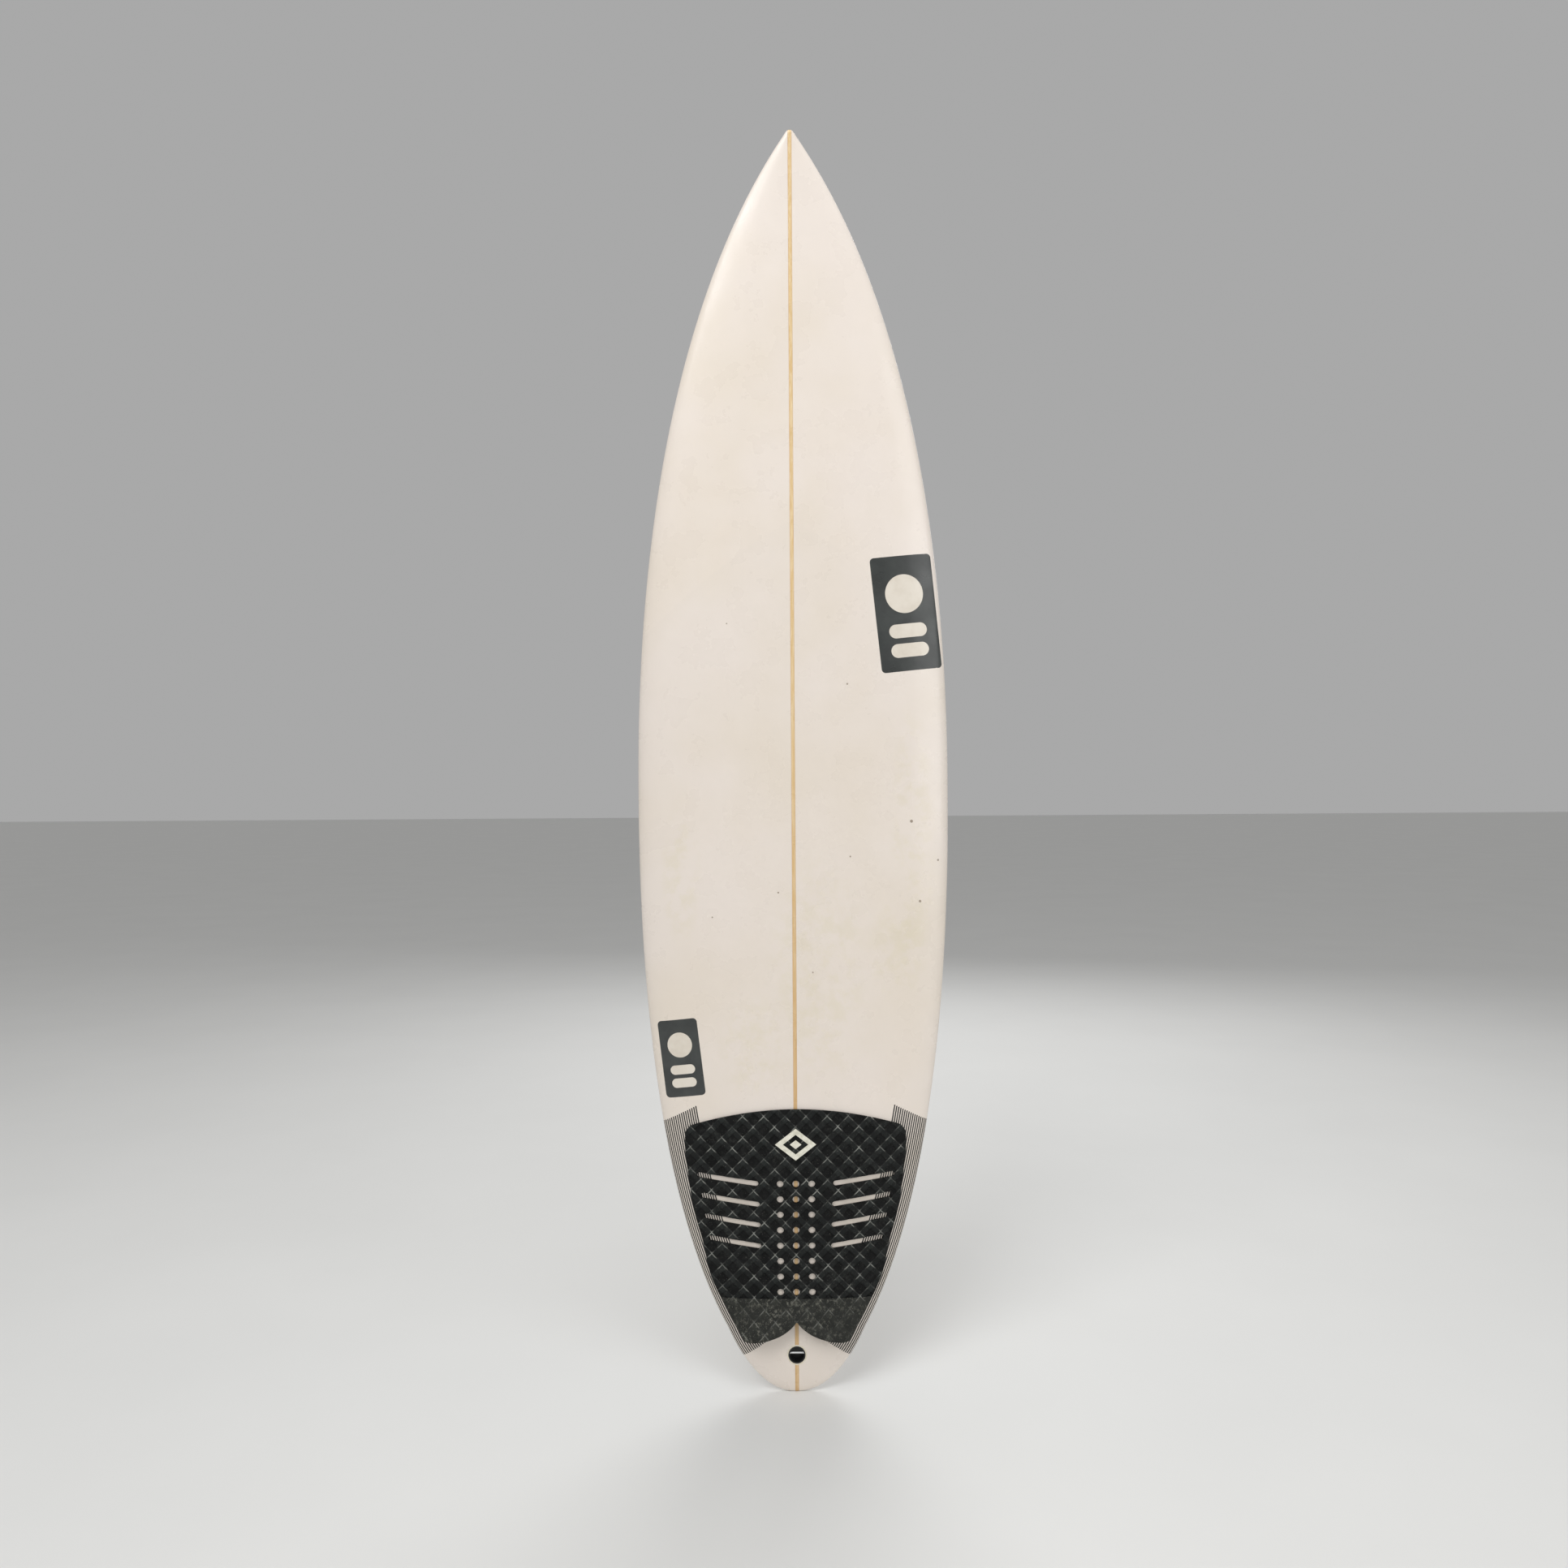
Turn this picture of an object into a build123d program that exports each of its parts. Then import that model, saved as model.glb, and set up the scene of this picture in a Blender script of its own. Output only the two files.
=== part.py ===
from build123d import *
import math
import os

# Performance shortboard, standing on its tail. Millimetres.
# +Z runs from the tail tip to the nose, the deck faces -Y and +X is to the right of the deck.
# Heights below are measured from the level of the bottom at mid length towards the deck.

# ---- driving dimensions: board ----
LENGTH = 1803.0
HALF_WIDTH = 231.0
WIDE_POINT_Z = 865.0
THICKNESS = 57.0
NOSE_ROCKER = 124.0
TAIL_ROCKER = 58.0
CONCAVE = 3.0
APEX_SHARE = 0.38
TAIL_TIP_FULL = 14.0
NOSE_TIP_FULL = 9.0
LEAST_ABOVE = 0.3
LEAST_BELOW = 0.2
LEAST_HALF_WIDTH = 0.6
CROWN_REACH = 0.6
CROWN_FALL = 0.62
FLAT_SHARE = 0.6
HOLLOW_HANDLES = (0.6, 0.4)

# ---- driving dimensions: stations along the board ----
# The outline and the side profile are cubic curves from the tail tip to the hip, the wide point,
# the nose's shoulder and the nose tip. Each row is a station: z, half width, bottom height,
# thickness, concave and tuck of the rail. Rows between stations are the curves' handles.
TIP_HALF_WIDTH = 3.0
TIP_THICKNESS = 1.6
HIP_SLOPE = math.tan(math.radians(29.6))
NOSE_SLOPE = math.tan(math.radians(38.7))
TAIL_STATIONS = (
    (0.0, TIP_HALF_WIDTH, TAIL_ROCKER, TIP_THICKNESS, 0.0, 0.5),
    (0.0, 61.6, TAIL_ROCKER, 17.5, 0.0, 3.0),
    (83.7, 101.0 - 7.3 * HIP_SLOPE, 46.4, 22.6, 0.3, 3.4),
    (91.0, 101.0, 45.5, 23.3, 0.3, 3.6),
)
MIDDLE_STATIONS = (
    (91.0, 101.0, 45.5, 23.3, 0.3, 3.6),
    (303.0, 101.0 + 212.0 * HIP_SLOPE, 18.2, 43.6, 1.5, 10.0),
    (706.0, HALF_WIDTH, 0.0, THICKNESS, CONCAVE, 20.0),
    (WIDE_POINT_Z, HALF_WIDTH, 0.0, THICKNESS, CONCAVE, 20.0),
)
NOSE_STATIONS = (
    (WIDE_POINT_Z, HALF_WIDTH, 0.0, THICKNESS, CONCAVE, 20.0),
    (964.6, HALF_WIDTH, 0.0, THICKNESS, CONCAVE, 20.0),
    (1514.0, 7.6 + 284.0 * NOSE_SLOPE, 24.9, 40.8, 0.5, 16.0),
    (1798.0, 7.6, 122.0, 9.6, 0.0, 3.0),
)
CAP_STATIONS = (
    (1798.0, 7.6, 122.0, 9.6, 0.0, 3.0),
    (1800.6, 7.6 - 2.6 * NOSE_SLOPE, 122.9, 9.3, 0.0, 2.0),
    (LENGTH, 4.2, NOSE_ROCKER, 5.3, 0.0, 1.2),
    (LENGTH, 1.2, NOSE_ROCKER, 1.2, 0.0, 0.4),
)
SEGMENTS = (TAIL_STATIONS, MIDDLE_STATIONS, NOSE_STATIONS, CAP_STATIONS)
Z, WIDTH, BOTTOM, THICK, HOLLOW, TUCK = range(6)

# ---- driving dimensions: construction ----
PRINT_DEPTH = 0.25
LAMINATE = 0.8
PATCH_DEPTH = 1.1
LAP_WIDTH = 38.0
LAP_ENDS = (70.0, 1713.0)
CARBON_WRAP = 20.0
CARBON_ENDS = (20.0, 470.0)
UPPER_SHARE = 0.3
STRINGER = 4.6
GLUE_LINE = 0.5

# ---- driving dimensions: leash plug ----
PLUG_Z = 55.0
PLUG_RADIUS = 12.5
PLUG_WALL = 1.8
PLUG_DEPTH = 15.0
PLUG_FLOOR = 2.2
PLUG_RESIN = 2.0
BAR_RADIUS = 1.5
BAR_DEPTH = 3.2
BAR_Z = PLUG_Z + 2.0

# ---- driving dimensions: fin boxes ----
BOX_LENGTH = 128.0
BOX_WIDTH = 14.0
BOX_RESIN = 1.5
BOX_PROUD = 0.35
BOX_CLEAR = 4.0
SLOT_LENGTH = 114.5
SLOT_WIDTH = 7.1
SLOT_SHIFT = -3.5
SLOT_FLOOR = 1.8
SIDE_BOX_DEPTH = 19.0
SIDE_BOX_Z = 340.0
SIDE_BOX_FROM_RAIL = 33.0
SIDE_CANT = 5.0
SIDE_TOE = 2.0
CENTRE_BOX_DEPTH = 13.5
CENTRE_BOX_Z = 150.0
SCREW_RADIUS = 2.4
SCREW_LENGTH = 6.5
SCREW_TILT = 40.0
SCREW_SET_BACK = 4.6
SCREW_SINK = 2.6
SCREW_SOCKET = 1.25
SCREW_GAP = 0.05

# ---- driving dimensions: traction pad ----
PAD_THICKNESS = 5.0
PAD_FILM = 0.3
PAD_TOP_Z = 410.0
PAD_SHOULDER = (148.0, 387.0)
PAD_ARCH_RADIUS = 520.0
PAD_WIDEST = (162.0, 369.0)
PAD_SIDE = ((158.0, 317.0), (148.5, 258.0), (136.0, 215.0), (126.0, 170.0), (110.0, 135.0), (92.5, 107.0))
PAD_CORNER_HANDLES = ((157.0, 384.0), (163.0, 378.0))
PAD_HEEL = (75.5, 83.0)
PAD_HEEL_HANDLES = ((70.0, 80.0), (50.0, 81.0))
PAD_HEEL_INNER = (37.0, 85.5)
PAD_NOTCH_HANDLES = ((22.0, 90.0), (10.0, 98.0))
PAD_NOTCH_Z = 107.0
HOLE_RADIUS = 5.0
HOLE_COLUMN = 23.0
HOLE_TOP_Z = 302.0
HOLE_PITCH = 22.3
HOLE_ROWS = 8
SLOT_CUT_RADIUS = 3.9
SLOT_CUTS = ((58.3, 302.6, 140.5, 313.7), (56.5, 272.6, 135.0, 284.0),
             (55.5, 242.8, 130.1, 254.0), (54.6, 212.5, 123.9, 222.6))
KICK_START_Z = 137.0
KICK_ANGLE = 21.0
MARK_Z = 360.0
MARK_HALF = (30.0, 23.0)
MARK_RIM = 0.62
MARK_CORE = 0.28
MARK_PROUD = 0.8

# ---- driving dimensions: prints and reinforcement ----
DECAL_CORNER = 5.0
LARGE_DECAL = (167.5, 1134.5, 91.0, 168.0, 6.3)
SMALL_DECAL = (-167.0, 483.0, 59.0, 113.0, 7.0)
CARBON_TOP = ((145.0, 416.0), (260.0, 350.0))
CARBON_INNER = ((118.0, 310.0), (99.0, 249.0), (82.0, 200.0), (62.0, 130.0))
CARBON_END = ((50.0, 67.0), (120.0, 22.0))
PATCH_TAIL_Z = 75.0
PATCH_ARCH = ((0.0, 1268.0), (60.0, 1245.0), (150.0, 1185.0), (245.0, 1045.0))

FAR = 400.0
K_ARC = 0.5523


def cubic(values, t):
    """Value of a cubic Bezier curve with four control values."""
    u = 1 - t
    return u ** 3 * values[0] + 3 * t * u * u * values[1] + 3 * t * t * u * values[2] + t ** 3 * values[3]


def find_station(z):
    """The segment that holds height z and the curve parameter there, by halving the interval."""
    segment = next(s for s in SEGMENTS if z <= s[3][Z])
    low, high = 0.0, 1.0
    for _ in range(40):
        middle = (low + high) / 2
        if cubic([row[Z] for row in segment], middle) < z:
            low = middle
        else:
            high = middle
    return segment, low


def at_height(z, column):
    """One column of the station table, read from the curves at height z."""
    segment, t = find_station(z)
    return cubic([row[column] for row in segment], t)


def section_heights(row, inset):
    """Deck, rail apex, rail edge and bottom heights of one station, pulled in by inset.

    The tips' thickness closes about the apex of the full rail, so that the ends are rounded."""
    full = {0.0: TAIL_TIP_FULL, LENGTH: NOSE_TIP_FULL}.get(row[Z], row[THICK])
    apex = row[BOTTOM] + APEX_SHARE * full
    above = max((1 - APEX_SHARE) * row[THICK] - inset, LEAST_ABOVE)
    below = max(APEX_SHARE * row[THICK] - inset, LEAST_BELOW)
    return apex + above, apex, apex - below - row[HOLLOW], apex - below


def depth_shift():
    """Row-frame Y of height zero, so that the origin is midway through the board's depth."""
    samples = [i / 200 for i in range(201)]
    decks = [[section_heights(row, 0)[0] for row in segment] for segment in SEGMENTS]
    edges = [[section_heights(row, 0)[2] for row in segment] for segment in SEGMENTS]
    highest = max(cubic(curve, t) for curve in decks for t in samples)
    lowest = min(cubic(curve, t) for curve in edges for t in samples)
    return (highest + lowest) / 2


SHIFT = depth_shift()


def deck_height_at(z):
    """Height of the deck's crown at z, between the tips."""
    return at_height(z, BOTTOM) + at_height(z, THICK)


def at(x, height, z):
    """Row-frame point from x, height above the bottom and z."""
    return (x, SHIFT - height, z)


def inset_direction(segment, index):
    """Unit step into the board, in z and half width, square to the outline at the nearer end."""
    first, second = (segment[0], segment[1]) if index < 2 else (segment[2], segment[3])
    dz, dw = second[Z] - first[Z], second[WIDTH] - first[WIDTH]
    size = math.hypot(dz, dw)
    return dw / size, -dz / size


def station_curves(segment, index, inset):
    """Cubic curves of one cross-section, each as four points: right crown, rail and bottom, then left."""
    row = segment[index]
    deck, apex, edge, centre = section_heights(row, inset)
    step_z, step_w = inset_direction(segment, index)
    z = row[Z] + inset * step_z
    width = max(row[WIDTH] + inset * step_w, LEAST_HALF_WIDTH)
    tuck = row[TUCK]
    flat = width - min(tuck, FLAT_SHARE * width)
    outer, inner = HOLLOW_HANDLES
    crown = [(0, deck), (CROWN_REACH * width, deck), (width, apex + CROWN_FALL * (deck - apex)), (width, apex)]
    rail = [(width, apex), (width, apex - K_ARC * (apex - edge)), (width - (1 - K_ARC) * (width - flat), edge),
            (flat, edge)]
    bottom = [(flat, edge), (outer * flat, edge), (inner * flat, centre), (0, centre)]
    right = [[at(x, h, z) for x, h in curve] for curve in (crown, rail, bottom)]
    left = [[at(-x, h, z) for x, h in reversed(curve)] for curve in (bottom, rail, crown)]
    return right + left


def end_cap(segment, index, inset):
    """The small flat face that closes the skin at one tip."""
    return Face(Wire([Bezier(*curve) for curve in station_curves(segment, index, inset)]))


def board_solid(inset):
    """The whole board as smooth cubic patches, pulled in by inset on every side."""
    faces = [end_cap(SEGMENTS[0], 0, inset), end_cap(SEGMENTS[-1], 3, inset)]
    for segment in SEGMENTS:
        rows = [station_curves(segment, index, inset) for index in range(4)]
        for patch in range(6):
            faces.append(Face.make_bezier_surface([row[patch] for row in rows]))
    return Solid(Shell(faces))


def prism_through(sketch_face, y_low=-FAR, y_high=FAR):
    """A face drawn in X and Z, carried straight through the board along Y."""
    return extrude(Plane.XZ * sketch_face, amount=-y_high) + extrude(Plane.XZ * sketch_face, amount=-y_low)


def deck_side(share):
    """Everything on the deck's side of a line at this share of the thickness."""
    count = 14
    stations = [-20 + i * (LENGTH + 40) / count for i in range(count + 1)]
    line = []
    for z in stations:
        inside = min(max(z, 0.0), LENGTH)
        line.append(at(0, at_height(inside, BOTTOM) + share * at_height(inside, THICK), z))
    start, end = line[0], line[-1]
    outer = Polyline(end, (0, -FAR, end[2]), (0, -FAR, start[2]), start)
    return extrude(Face(Wire([Spline(*line)] + outer.edges())), amount=FAR, dir=(1, 0, 0), both=True)


def outline_band(inset, z_low, z_high):
    """Prism of everything at least inset inside the outline, between two heights."""
    count = 16
    right = []
    for i in range(count + 1):
        z = z_low + (z_high - z_low) * i / count
        right.append((at_height(z, WIDTH) - inset, z))
    left = [(-x, z) for x, z in reversed(right)]
    face = make_face([Spline(*right), Line(right[-1], left[0]), Spline(*left), Line(left[-1], right[0])])
    return prism_through(face)


def mirrored_outline(curve_edges):
    """Close a half outline that starts and ends on the centre line."""
    half = Curve() + curve_edges
    return make_face(half.edges() + mirror(half, about=Plane.YZ).edges())


def pad_outline():
    """The pad: arched top edge, rounded shoulders, sides that follow the rails, and a notched heel."""
    top = RadiusArc((0, PAD_TOP_Z), PAD_SHOULDER, PAD_ARCH_RADIUS)
    corner = Bezier(PAD_SHOULDER, *PAD_CORNER_HANDLES, PAD_WIDEST)
    side = Spline(PAD_WIDEST, *PAD_SIDE, PAD_HEEL, tangents=[(-0.02, -1), (-0.6, -1)])
    heel = Bezier(PAD_HEEL, *PAD_HEEL_HANDLES, PAD_HEEL_INNER)
    notch = Bezier(PAD_HEEL_INNER, *PAD_NOTCH_HANDLES, (0, PAD_NOTCH_Z))
    return mirrored_outline([top, corner, side, heel, notch])


def pad_openings():
    """Prism of the pad's round holes and its slanted slots."""
    holes = []
    for row in range(HOLE_ROWS):
        for column in (-1, 0, 1):
            place = (column * HOLE_COLUMN, HOLE_TOP_Z - row * HOLE_PITCH)
            holes.append(Pos(*place) * Circle(HOLE_RADIUS))
    for x1, z1, x2, z2 in SLOT_CUTS:
        for side in (-1, 1):
            middle = (side * (x1 + x2) / 2, (z1 + z2) / 2)
            turn = side * math.degrees(math.atan2(z2 - z1, x2 - x1))
            run = math.hypot(x2 - x1, z2 - z1)
            holes.append(Pos(*middle) * Rot(0, 0, turn) * SlotCenterToCenter(run, 2 * SLOT_CUT_RADIUS))
    return prism_through(Sketch() + holes)


def traction_pad(board, upper):
    """Glue film, moulded sheet, kick tail and raised mark of the traction pad."""
    openings = pad_openings()
    outline = prism_through(pad_outline(), -FAR, SHIFT)
    film_top = Pos(0, -PAD_FILM, 0) * board
    sheet_top = Pos(0, -PAD_THICKNESS, 0) * board
    film = (outline & film_top) - board - openings
    sheet = (outline & sheet_top) - film_top - openings
    hinge_height = deck_height_at(KICK_START_Z) + PAD_THICKNESS
    hinge = Pos(*at(0, hinge_height, KICK_START_Z))
    ramp = hinge * Rot(-KICK_ANGLE, 0, 0) * hinge.inverse() * sheet_top
    heel_block = prism_through(Pos(0, KICK_START_Z / 2) * Rectangle(FAR, KICK_START_Z), -FAR, SHIFT)
    kick = (outline & heel_block & upper & ramp) - sheet_top
    mark_place = Pos(0, MARK_Z)
    lozenge = Polygon((MARK_HALF[0], 0), (0, MARK_HALF[1]), (-MARK_HALF[0], 0), (0, -MARK_HALF[1]))
    mark_face = lozenge - scale(lozenge, MARK_RIM) + scale(lozenge, MARK_CORE)
    mark = (prism_through(mark_place * mark_face, -FAR, SHIFT) & (Pos(0, -MARK_PROUD, 0) * sheet_top)) - sheet_top
    return {"pad_adhesive": film, "traction_pad": sheet, "pad_kick": kick, "pad_mark": mark}


def decal_prism(x, z, width, height, turn):
    """Prism of one rounded rectangular print, turned a little to lie along the rail."""
    face = Pos(x, z) * Rot(0, 0, turn) * RectangleRounded(width, height, DECAL_CORNER)
    return prism_through(face, -FAR, SHIFT)


def carbon_prism(side):
    """Prism of one rail reinforcement: slanted ends and an inner edge that follows the rail."""
    inner = [CARBON_TOP[0]] + list(CARBON_INNER) + [CARBON_END[0]]
    inner = [(side * x, z) for x, z in inner]
    top_out = (side * CARBON_TOP[1][0], CARBON_TOP[1][1])
    end_out = (side * CARBON_END[1][0], CARBON_END[1][1])
    far_end = (top_out[0], end_out[1])
    outer = Polyline(inner[-1], end_out, far_end, top_out, inner[0])
    return prism_through(make_face([Spline(*inner)] + outer.edges()))


def arch_prism():
    """Prism of the second deck layer, which ends in a pointed arch."""
    right = Bezier(*PATCH_ARCH)
    side_x, side_z = PATCH_ARCH[-1]
    base = Polyline((side_x, side_z), (side_x, PATCH_TAIL_Z), (0, PATCH_TAIL_Z))
    return prism_through(mirrored_outline([right, base]))


def leash_plug(board):
    """Cup with its cross bar, set in a ring of resin; all are sanded flush with the deck."""
    deck_height = deck_height_at(PLUG_Z)
    face = Plane(at(0, deck_height + 2, PLUG_Z), x_dir=(1, 0, 0), z_dir=(0, 1, 0))
    ring = face * Pos(0, 0, (PLUG_DEPTH + 2 + PLUG_RESIN / 2) / 2)
    pocket = ring * Cylinder(PLUG_RADIUS + PLUG_RESIN, PLUG_DEPTH + 2 + PLUG_RESIN / 2)
    shell = face * Pos(0, 0, (PLUG_DEPTH + 2) / 2) * Cylinder(PLUG_RADIUS, PLUG_DEPTH + 2)
    hollow_depth = PLUG_DEPTH + 2 - PLUG_FLOOR
    hollow = face * Pos(0, 0, hollow_depth / 2) * Cylinder(PLUG_RADIUS - PLUG_WALL, hollow_depth)
    bar_place = Pos(*at(0, deck_height - BAR_DEPTH, BAR_Z)) * Rot(0, 90, 0)
    bar_half = math.sqrt((PLUG_RADIUS - 0.6) ** 2 - (BAR_Z - PLUG_Z) ** 2)
    bar = bar_place * Cylinder(BAR_RADIUS, 2 * bar_half)
    cup = ((shell & board) - hollow) - bar
    resin = (pocket & board) - shell
    return {"leash_plug_cup": cup, "leash_plug_bar": bar, "leash_plug_resin": resin}, pocket


def box_frame(x, z, cant, toe):
    """Frame on the bottom: local X across, local Y towards the nose, local Z out of the bottom."""
    step = 1.0
    slope = math.atan((at_height(z + step, BOTTOM) - at_height(z - step, BOTTOM)) / (2 * step))
    share = abs(x) / (at_height(z, WIDTH) - at_height(z, TUCK))
    height = at_height(z, BOTTOM) - at_height(z, HOLLOW) * share * share * (3 - 2 * share)
    base = Plane(at(x, height, z), x_dir=(-1, 0, 0), z_dir=(0, 1, 0))
    turned = Rot(math.degrees(-slope), 0, 0) * Rot(0, cant, 0) * Rot(0, 0, toe)
    return base.location * turned


def fin_box(name, place, depth, board):
    """One moulded fin box with a long slot, its resin seat and its clamping screw."""
    body = extrude(SlotOverall(BOX_LENGTH, BOX_WIDTH, rotation=90), amount=-depth)
    slot = Pos(0, SLOT_SHIFT) * SlotOverall(SLOT_LENGTH, SLOT_WIDTH, rotation=90)
    cavity = extrude(slot, amount=-(depth - SLOT_FLOOR))
    seat_face = SlotOverall(BOX_LENGTH + 2 * BOX_RESIN, BOX_WIDTH + 2 * BOX_RESIN, rotation=90)
    seat = Pos(0, 0, BOX_CLEAR) * extrude(seat_face, amount=-(depth + BOX_RESIN / 2 + BOX_CLEAR))
    above = extrude(SlotOverall(BOX_LENGTH, BOX_WIDTH, rotation=90), amount=BOX_CLEAR)
    mouth_y = SLOT_SHIFT + SLOT_LENGTH / 2 + SCREW_SET_BACK
    axis = Pos(0, mouth_y, 0) * Rot(-SCREW_TILT, 0, 0)
    hole = axis * Pos(0, 0, -6) * Cylinder(SCREW_RADIUS + SCREW_GAP, 16)
    screw = axis * Pos(0, 0, -SCREW_SINK - SCREW_LENGTH / 2) * Cylinder(SCREW_RADIUS, SCREW_LENGTH)
    socket = extrude(RegularPolygon(SCREW_SOCKET, 6), amount=-SCREW_LENGTH / 2)
    screw -= axis * Pos(0, 0, -SCREW_SINK) * socket
    lift = place * Pos(0, 0, BOX_PROUD)
    pieces = {"fin_box_" + name: lift * (body - cavity - hole),
              "fin_box_resin_" + name: ((lift * seat) & board) - lift * body - lift * above,
              "fin_screw_" + name: lift * screw}
    return pieces, lift * seat


def all_fin_boxes(board):
    """Two canted side boxes and a centre box, in the usual three-fin layout."""
    pieces = {}
    pockets = []
    side_x = at_height(SIDE_BOX_Z, WIDTH) - SIDE_BOX_FROM_RAIL
    layout = (("left", -side_x, SIDE_BOX_Z, SIDE_BOX_DEPTH, -1),
              ("right", side_x, SIDE_BOX_Z, SIDE_BOX_DEPTH, 1),
              ("centre", 0, CENTRE_BOX_Z, CENTRE_BOX_DEPTH, 0))
    for name, x, z, depth, side in layout:
        place = box_frame(x, z, -side * SIDE_CANT, -side * SIDE_TOE)
        made, pocket = fin_box(name, place, depth, board)
        pieces.update(made)
        pockets.append(pocket)
    return pieces, pockets


def core_slab(x_low, x_high):
    """Upright slab between two planes, used to part the core along the stringer."""
    return Pos((x_low + x_high) / 2, 0, LENGTH / 2) * Box(x_high - x_low, 2 * FAR, LENGTH + 40)


def build_board():
    """Make every piece of the board and return them by node name."""
    board = board_solid(0)
    print_layer = board - board_solid(PRINT_DEPTH)
    core = board_solid(LAMINATE)
    patch_core = board_solid(PATCH_DEPTH)
    upper = deck_side(UPPER_SHARE)
    nodes, plug_pocket = leash_plug(board)
    boxes, box_pockets = all_fin_boxes(board)
    nodes.update(boxes)

    under_glass = {"decal_large": (print_layer & upper) & decal_prism(*LARGE_DECAL),
                   "decal_small": (print_layer & upper) & decal_prism(*SMALL_DECAL)}
    wrap_limit = outline_band(CARBON_WRAP, *CARBON_ENDS) - upper
    for name, side in (("left", -1), ("right", 1)):
        under_glass["carbon_patch_" + name] = (print_layer & carbon_prism(side)) - wrap_limit
    nodes.update(under_glass)

    skin = board - core
    bottom_zone = outline_band(LAP_WIDTH, *LAP_ENDS) - upper
    deck_laminate = skin - bottom_zone - plug_pocket
    for piece in under_glass.values():
        deck_laminate -= piece
    bottom_laminate = skin & bottom_zone
    deck_patch = (core - patch_core) & upper & arch_prism()
    foam = core - deck_patch - plug_pocket
    for pocket in box_pockets:
        deck_laminate -= pocket
        bottom_laminate -= pocket
        foam -= pocket
        for name in ("carbon_patch_left", "carbon_patch_right"):
            nodes[name] -= pocket
    nodes["deck_laminate"] = deck_laminate
    nodes["bottom_laminate"] = bottom_laminate
    nodes["deck_patch"] = deck_patch

    half = STRINGER / 2
    nodes["stringer"] = foam & core_slab(-half, half)
    glue = core_slab(-half - GLUE_LINE, -half) + core_slab(half, half + GLUE_LINE)
    nodes["stringer_glue"] = foam & glue
    nodes["foam_blank_left"] = foam & core_slab(-FAR, -half - GLUE_LINE)
    nodes["foam_blank_right"] = foam & core_slab(half + GLUE_LINE, FAR)
    nodes.update(traction_pad(board, upper))
    return nodes


def main():
    os.makedirs("parts", exist_ok=True)
    for name, shape in build_board().items():
        export_step(Compound(children=list(shape.solids())) if len(shape.solids()) > 1 else shape.solid(),
                    "parts/" + name + ".step")


main()
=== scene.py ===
import logging
import math
from dataclasses import dataclass
from enum import Enum
from typing import Callable

import bmesh
import bpy
import numpy as np
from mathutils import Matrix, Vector


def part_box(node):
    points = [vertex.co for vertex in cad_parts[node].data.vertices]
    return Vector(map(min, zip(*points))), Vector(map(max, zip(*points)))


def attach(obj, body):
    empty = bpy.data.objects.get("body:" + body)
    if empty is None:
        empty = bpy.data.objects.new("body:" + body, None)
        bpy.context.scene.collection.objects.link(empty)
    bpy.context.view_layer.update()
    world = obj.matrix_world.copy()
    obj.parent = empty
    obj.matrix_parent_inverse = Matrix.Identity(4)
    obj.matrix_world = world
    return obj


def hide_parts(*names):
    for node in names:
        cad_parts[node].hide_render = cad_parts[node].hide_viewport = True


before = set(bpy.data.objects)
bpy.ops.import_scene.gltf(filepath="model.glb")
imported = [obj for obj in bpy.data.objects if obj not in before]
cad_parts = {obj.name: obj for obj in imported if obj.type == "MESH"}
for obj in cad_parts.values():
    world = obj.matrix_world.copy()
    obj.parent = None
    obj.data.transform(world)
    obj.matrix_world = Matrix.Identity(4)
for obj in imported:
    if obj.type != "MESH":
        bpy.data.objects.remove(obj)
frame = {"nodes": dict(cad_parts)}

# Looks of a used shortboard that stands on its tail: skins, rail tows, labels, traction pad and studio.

LOG = logging.getLogger("shortboard")
MM = 0.001
SLIVER_M = 2e-6
FIN_SEATS = ("fin_box_resin_left", "fin_box_resin_right", "fin_box_resin_centre")
Array = np.ndarray
Rgba = tuple[float, float, float, float]
Distance = Callable[[Array], Array]


class Region(Enum):
    """The two sides of a section that a line along the rail can lie on."""

    DECK = "deck"
    BOTTOM = "bottom"


# ---------------------------------------------------------------- colours and nodes


def linear(code: str) -> Rgba:
    """Turn an sRGB hex colour into the linear values that shaders take.

    Args:
        code: Six hex digits, such as "e8e0d4".

    Returns:
        Linear red, green and blue with an alpha of 1.
    """
    parts = [int(code[i:i + 2], 16) / 255 for i in (0, 2, 4)]
    flat = [c / 12.92 if c <= 0.04045 else ((c + 0.055) / 1.055) ** 2.4 for c in parts]
    return (flat[0], flat[1], flat[2], 1.0)


def node(tree: bpy.types.NodeTree, kind: str, links: dict | None = None, values: dict | None = None,
         **settings: object) -> bpy.types.Node:
    """Add one shader node.

    Args:
        tree: The material's node tree.
        kind: Blender's node type name.
        links: Input name or index to the output socket that feeds it.
        values: Input name or index to a constant.
        settings: Attributes of the node itself.

    Returns:
        The new node.
    """
    made = tree.nodes.new(kind)
    for key, value in settings.items():
        setattr(made, key, value)
    for key, value in (values or {}).items():
        made.inputs[key].default_value = value
    for key, socket in (links or {}).items():
        tree.links.new(socket, made.inputs[key])
    return made


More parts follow.
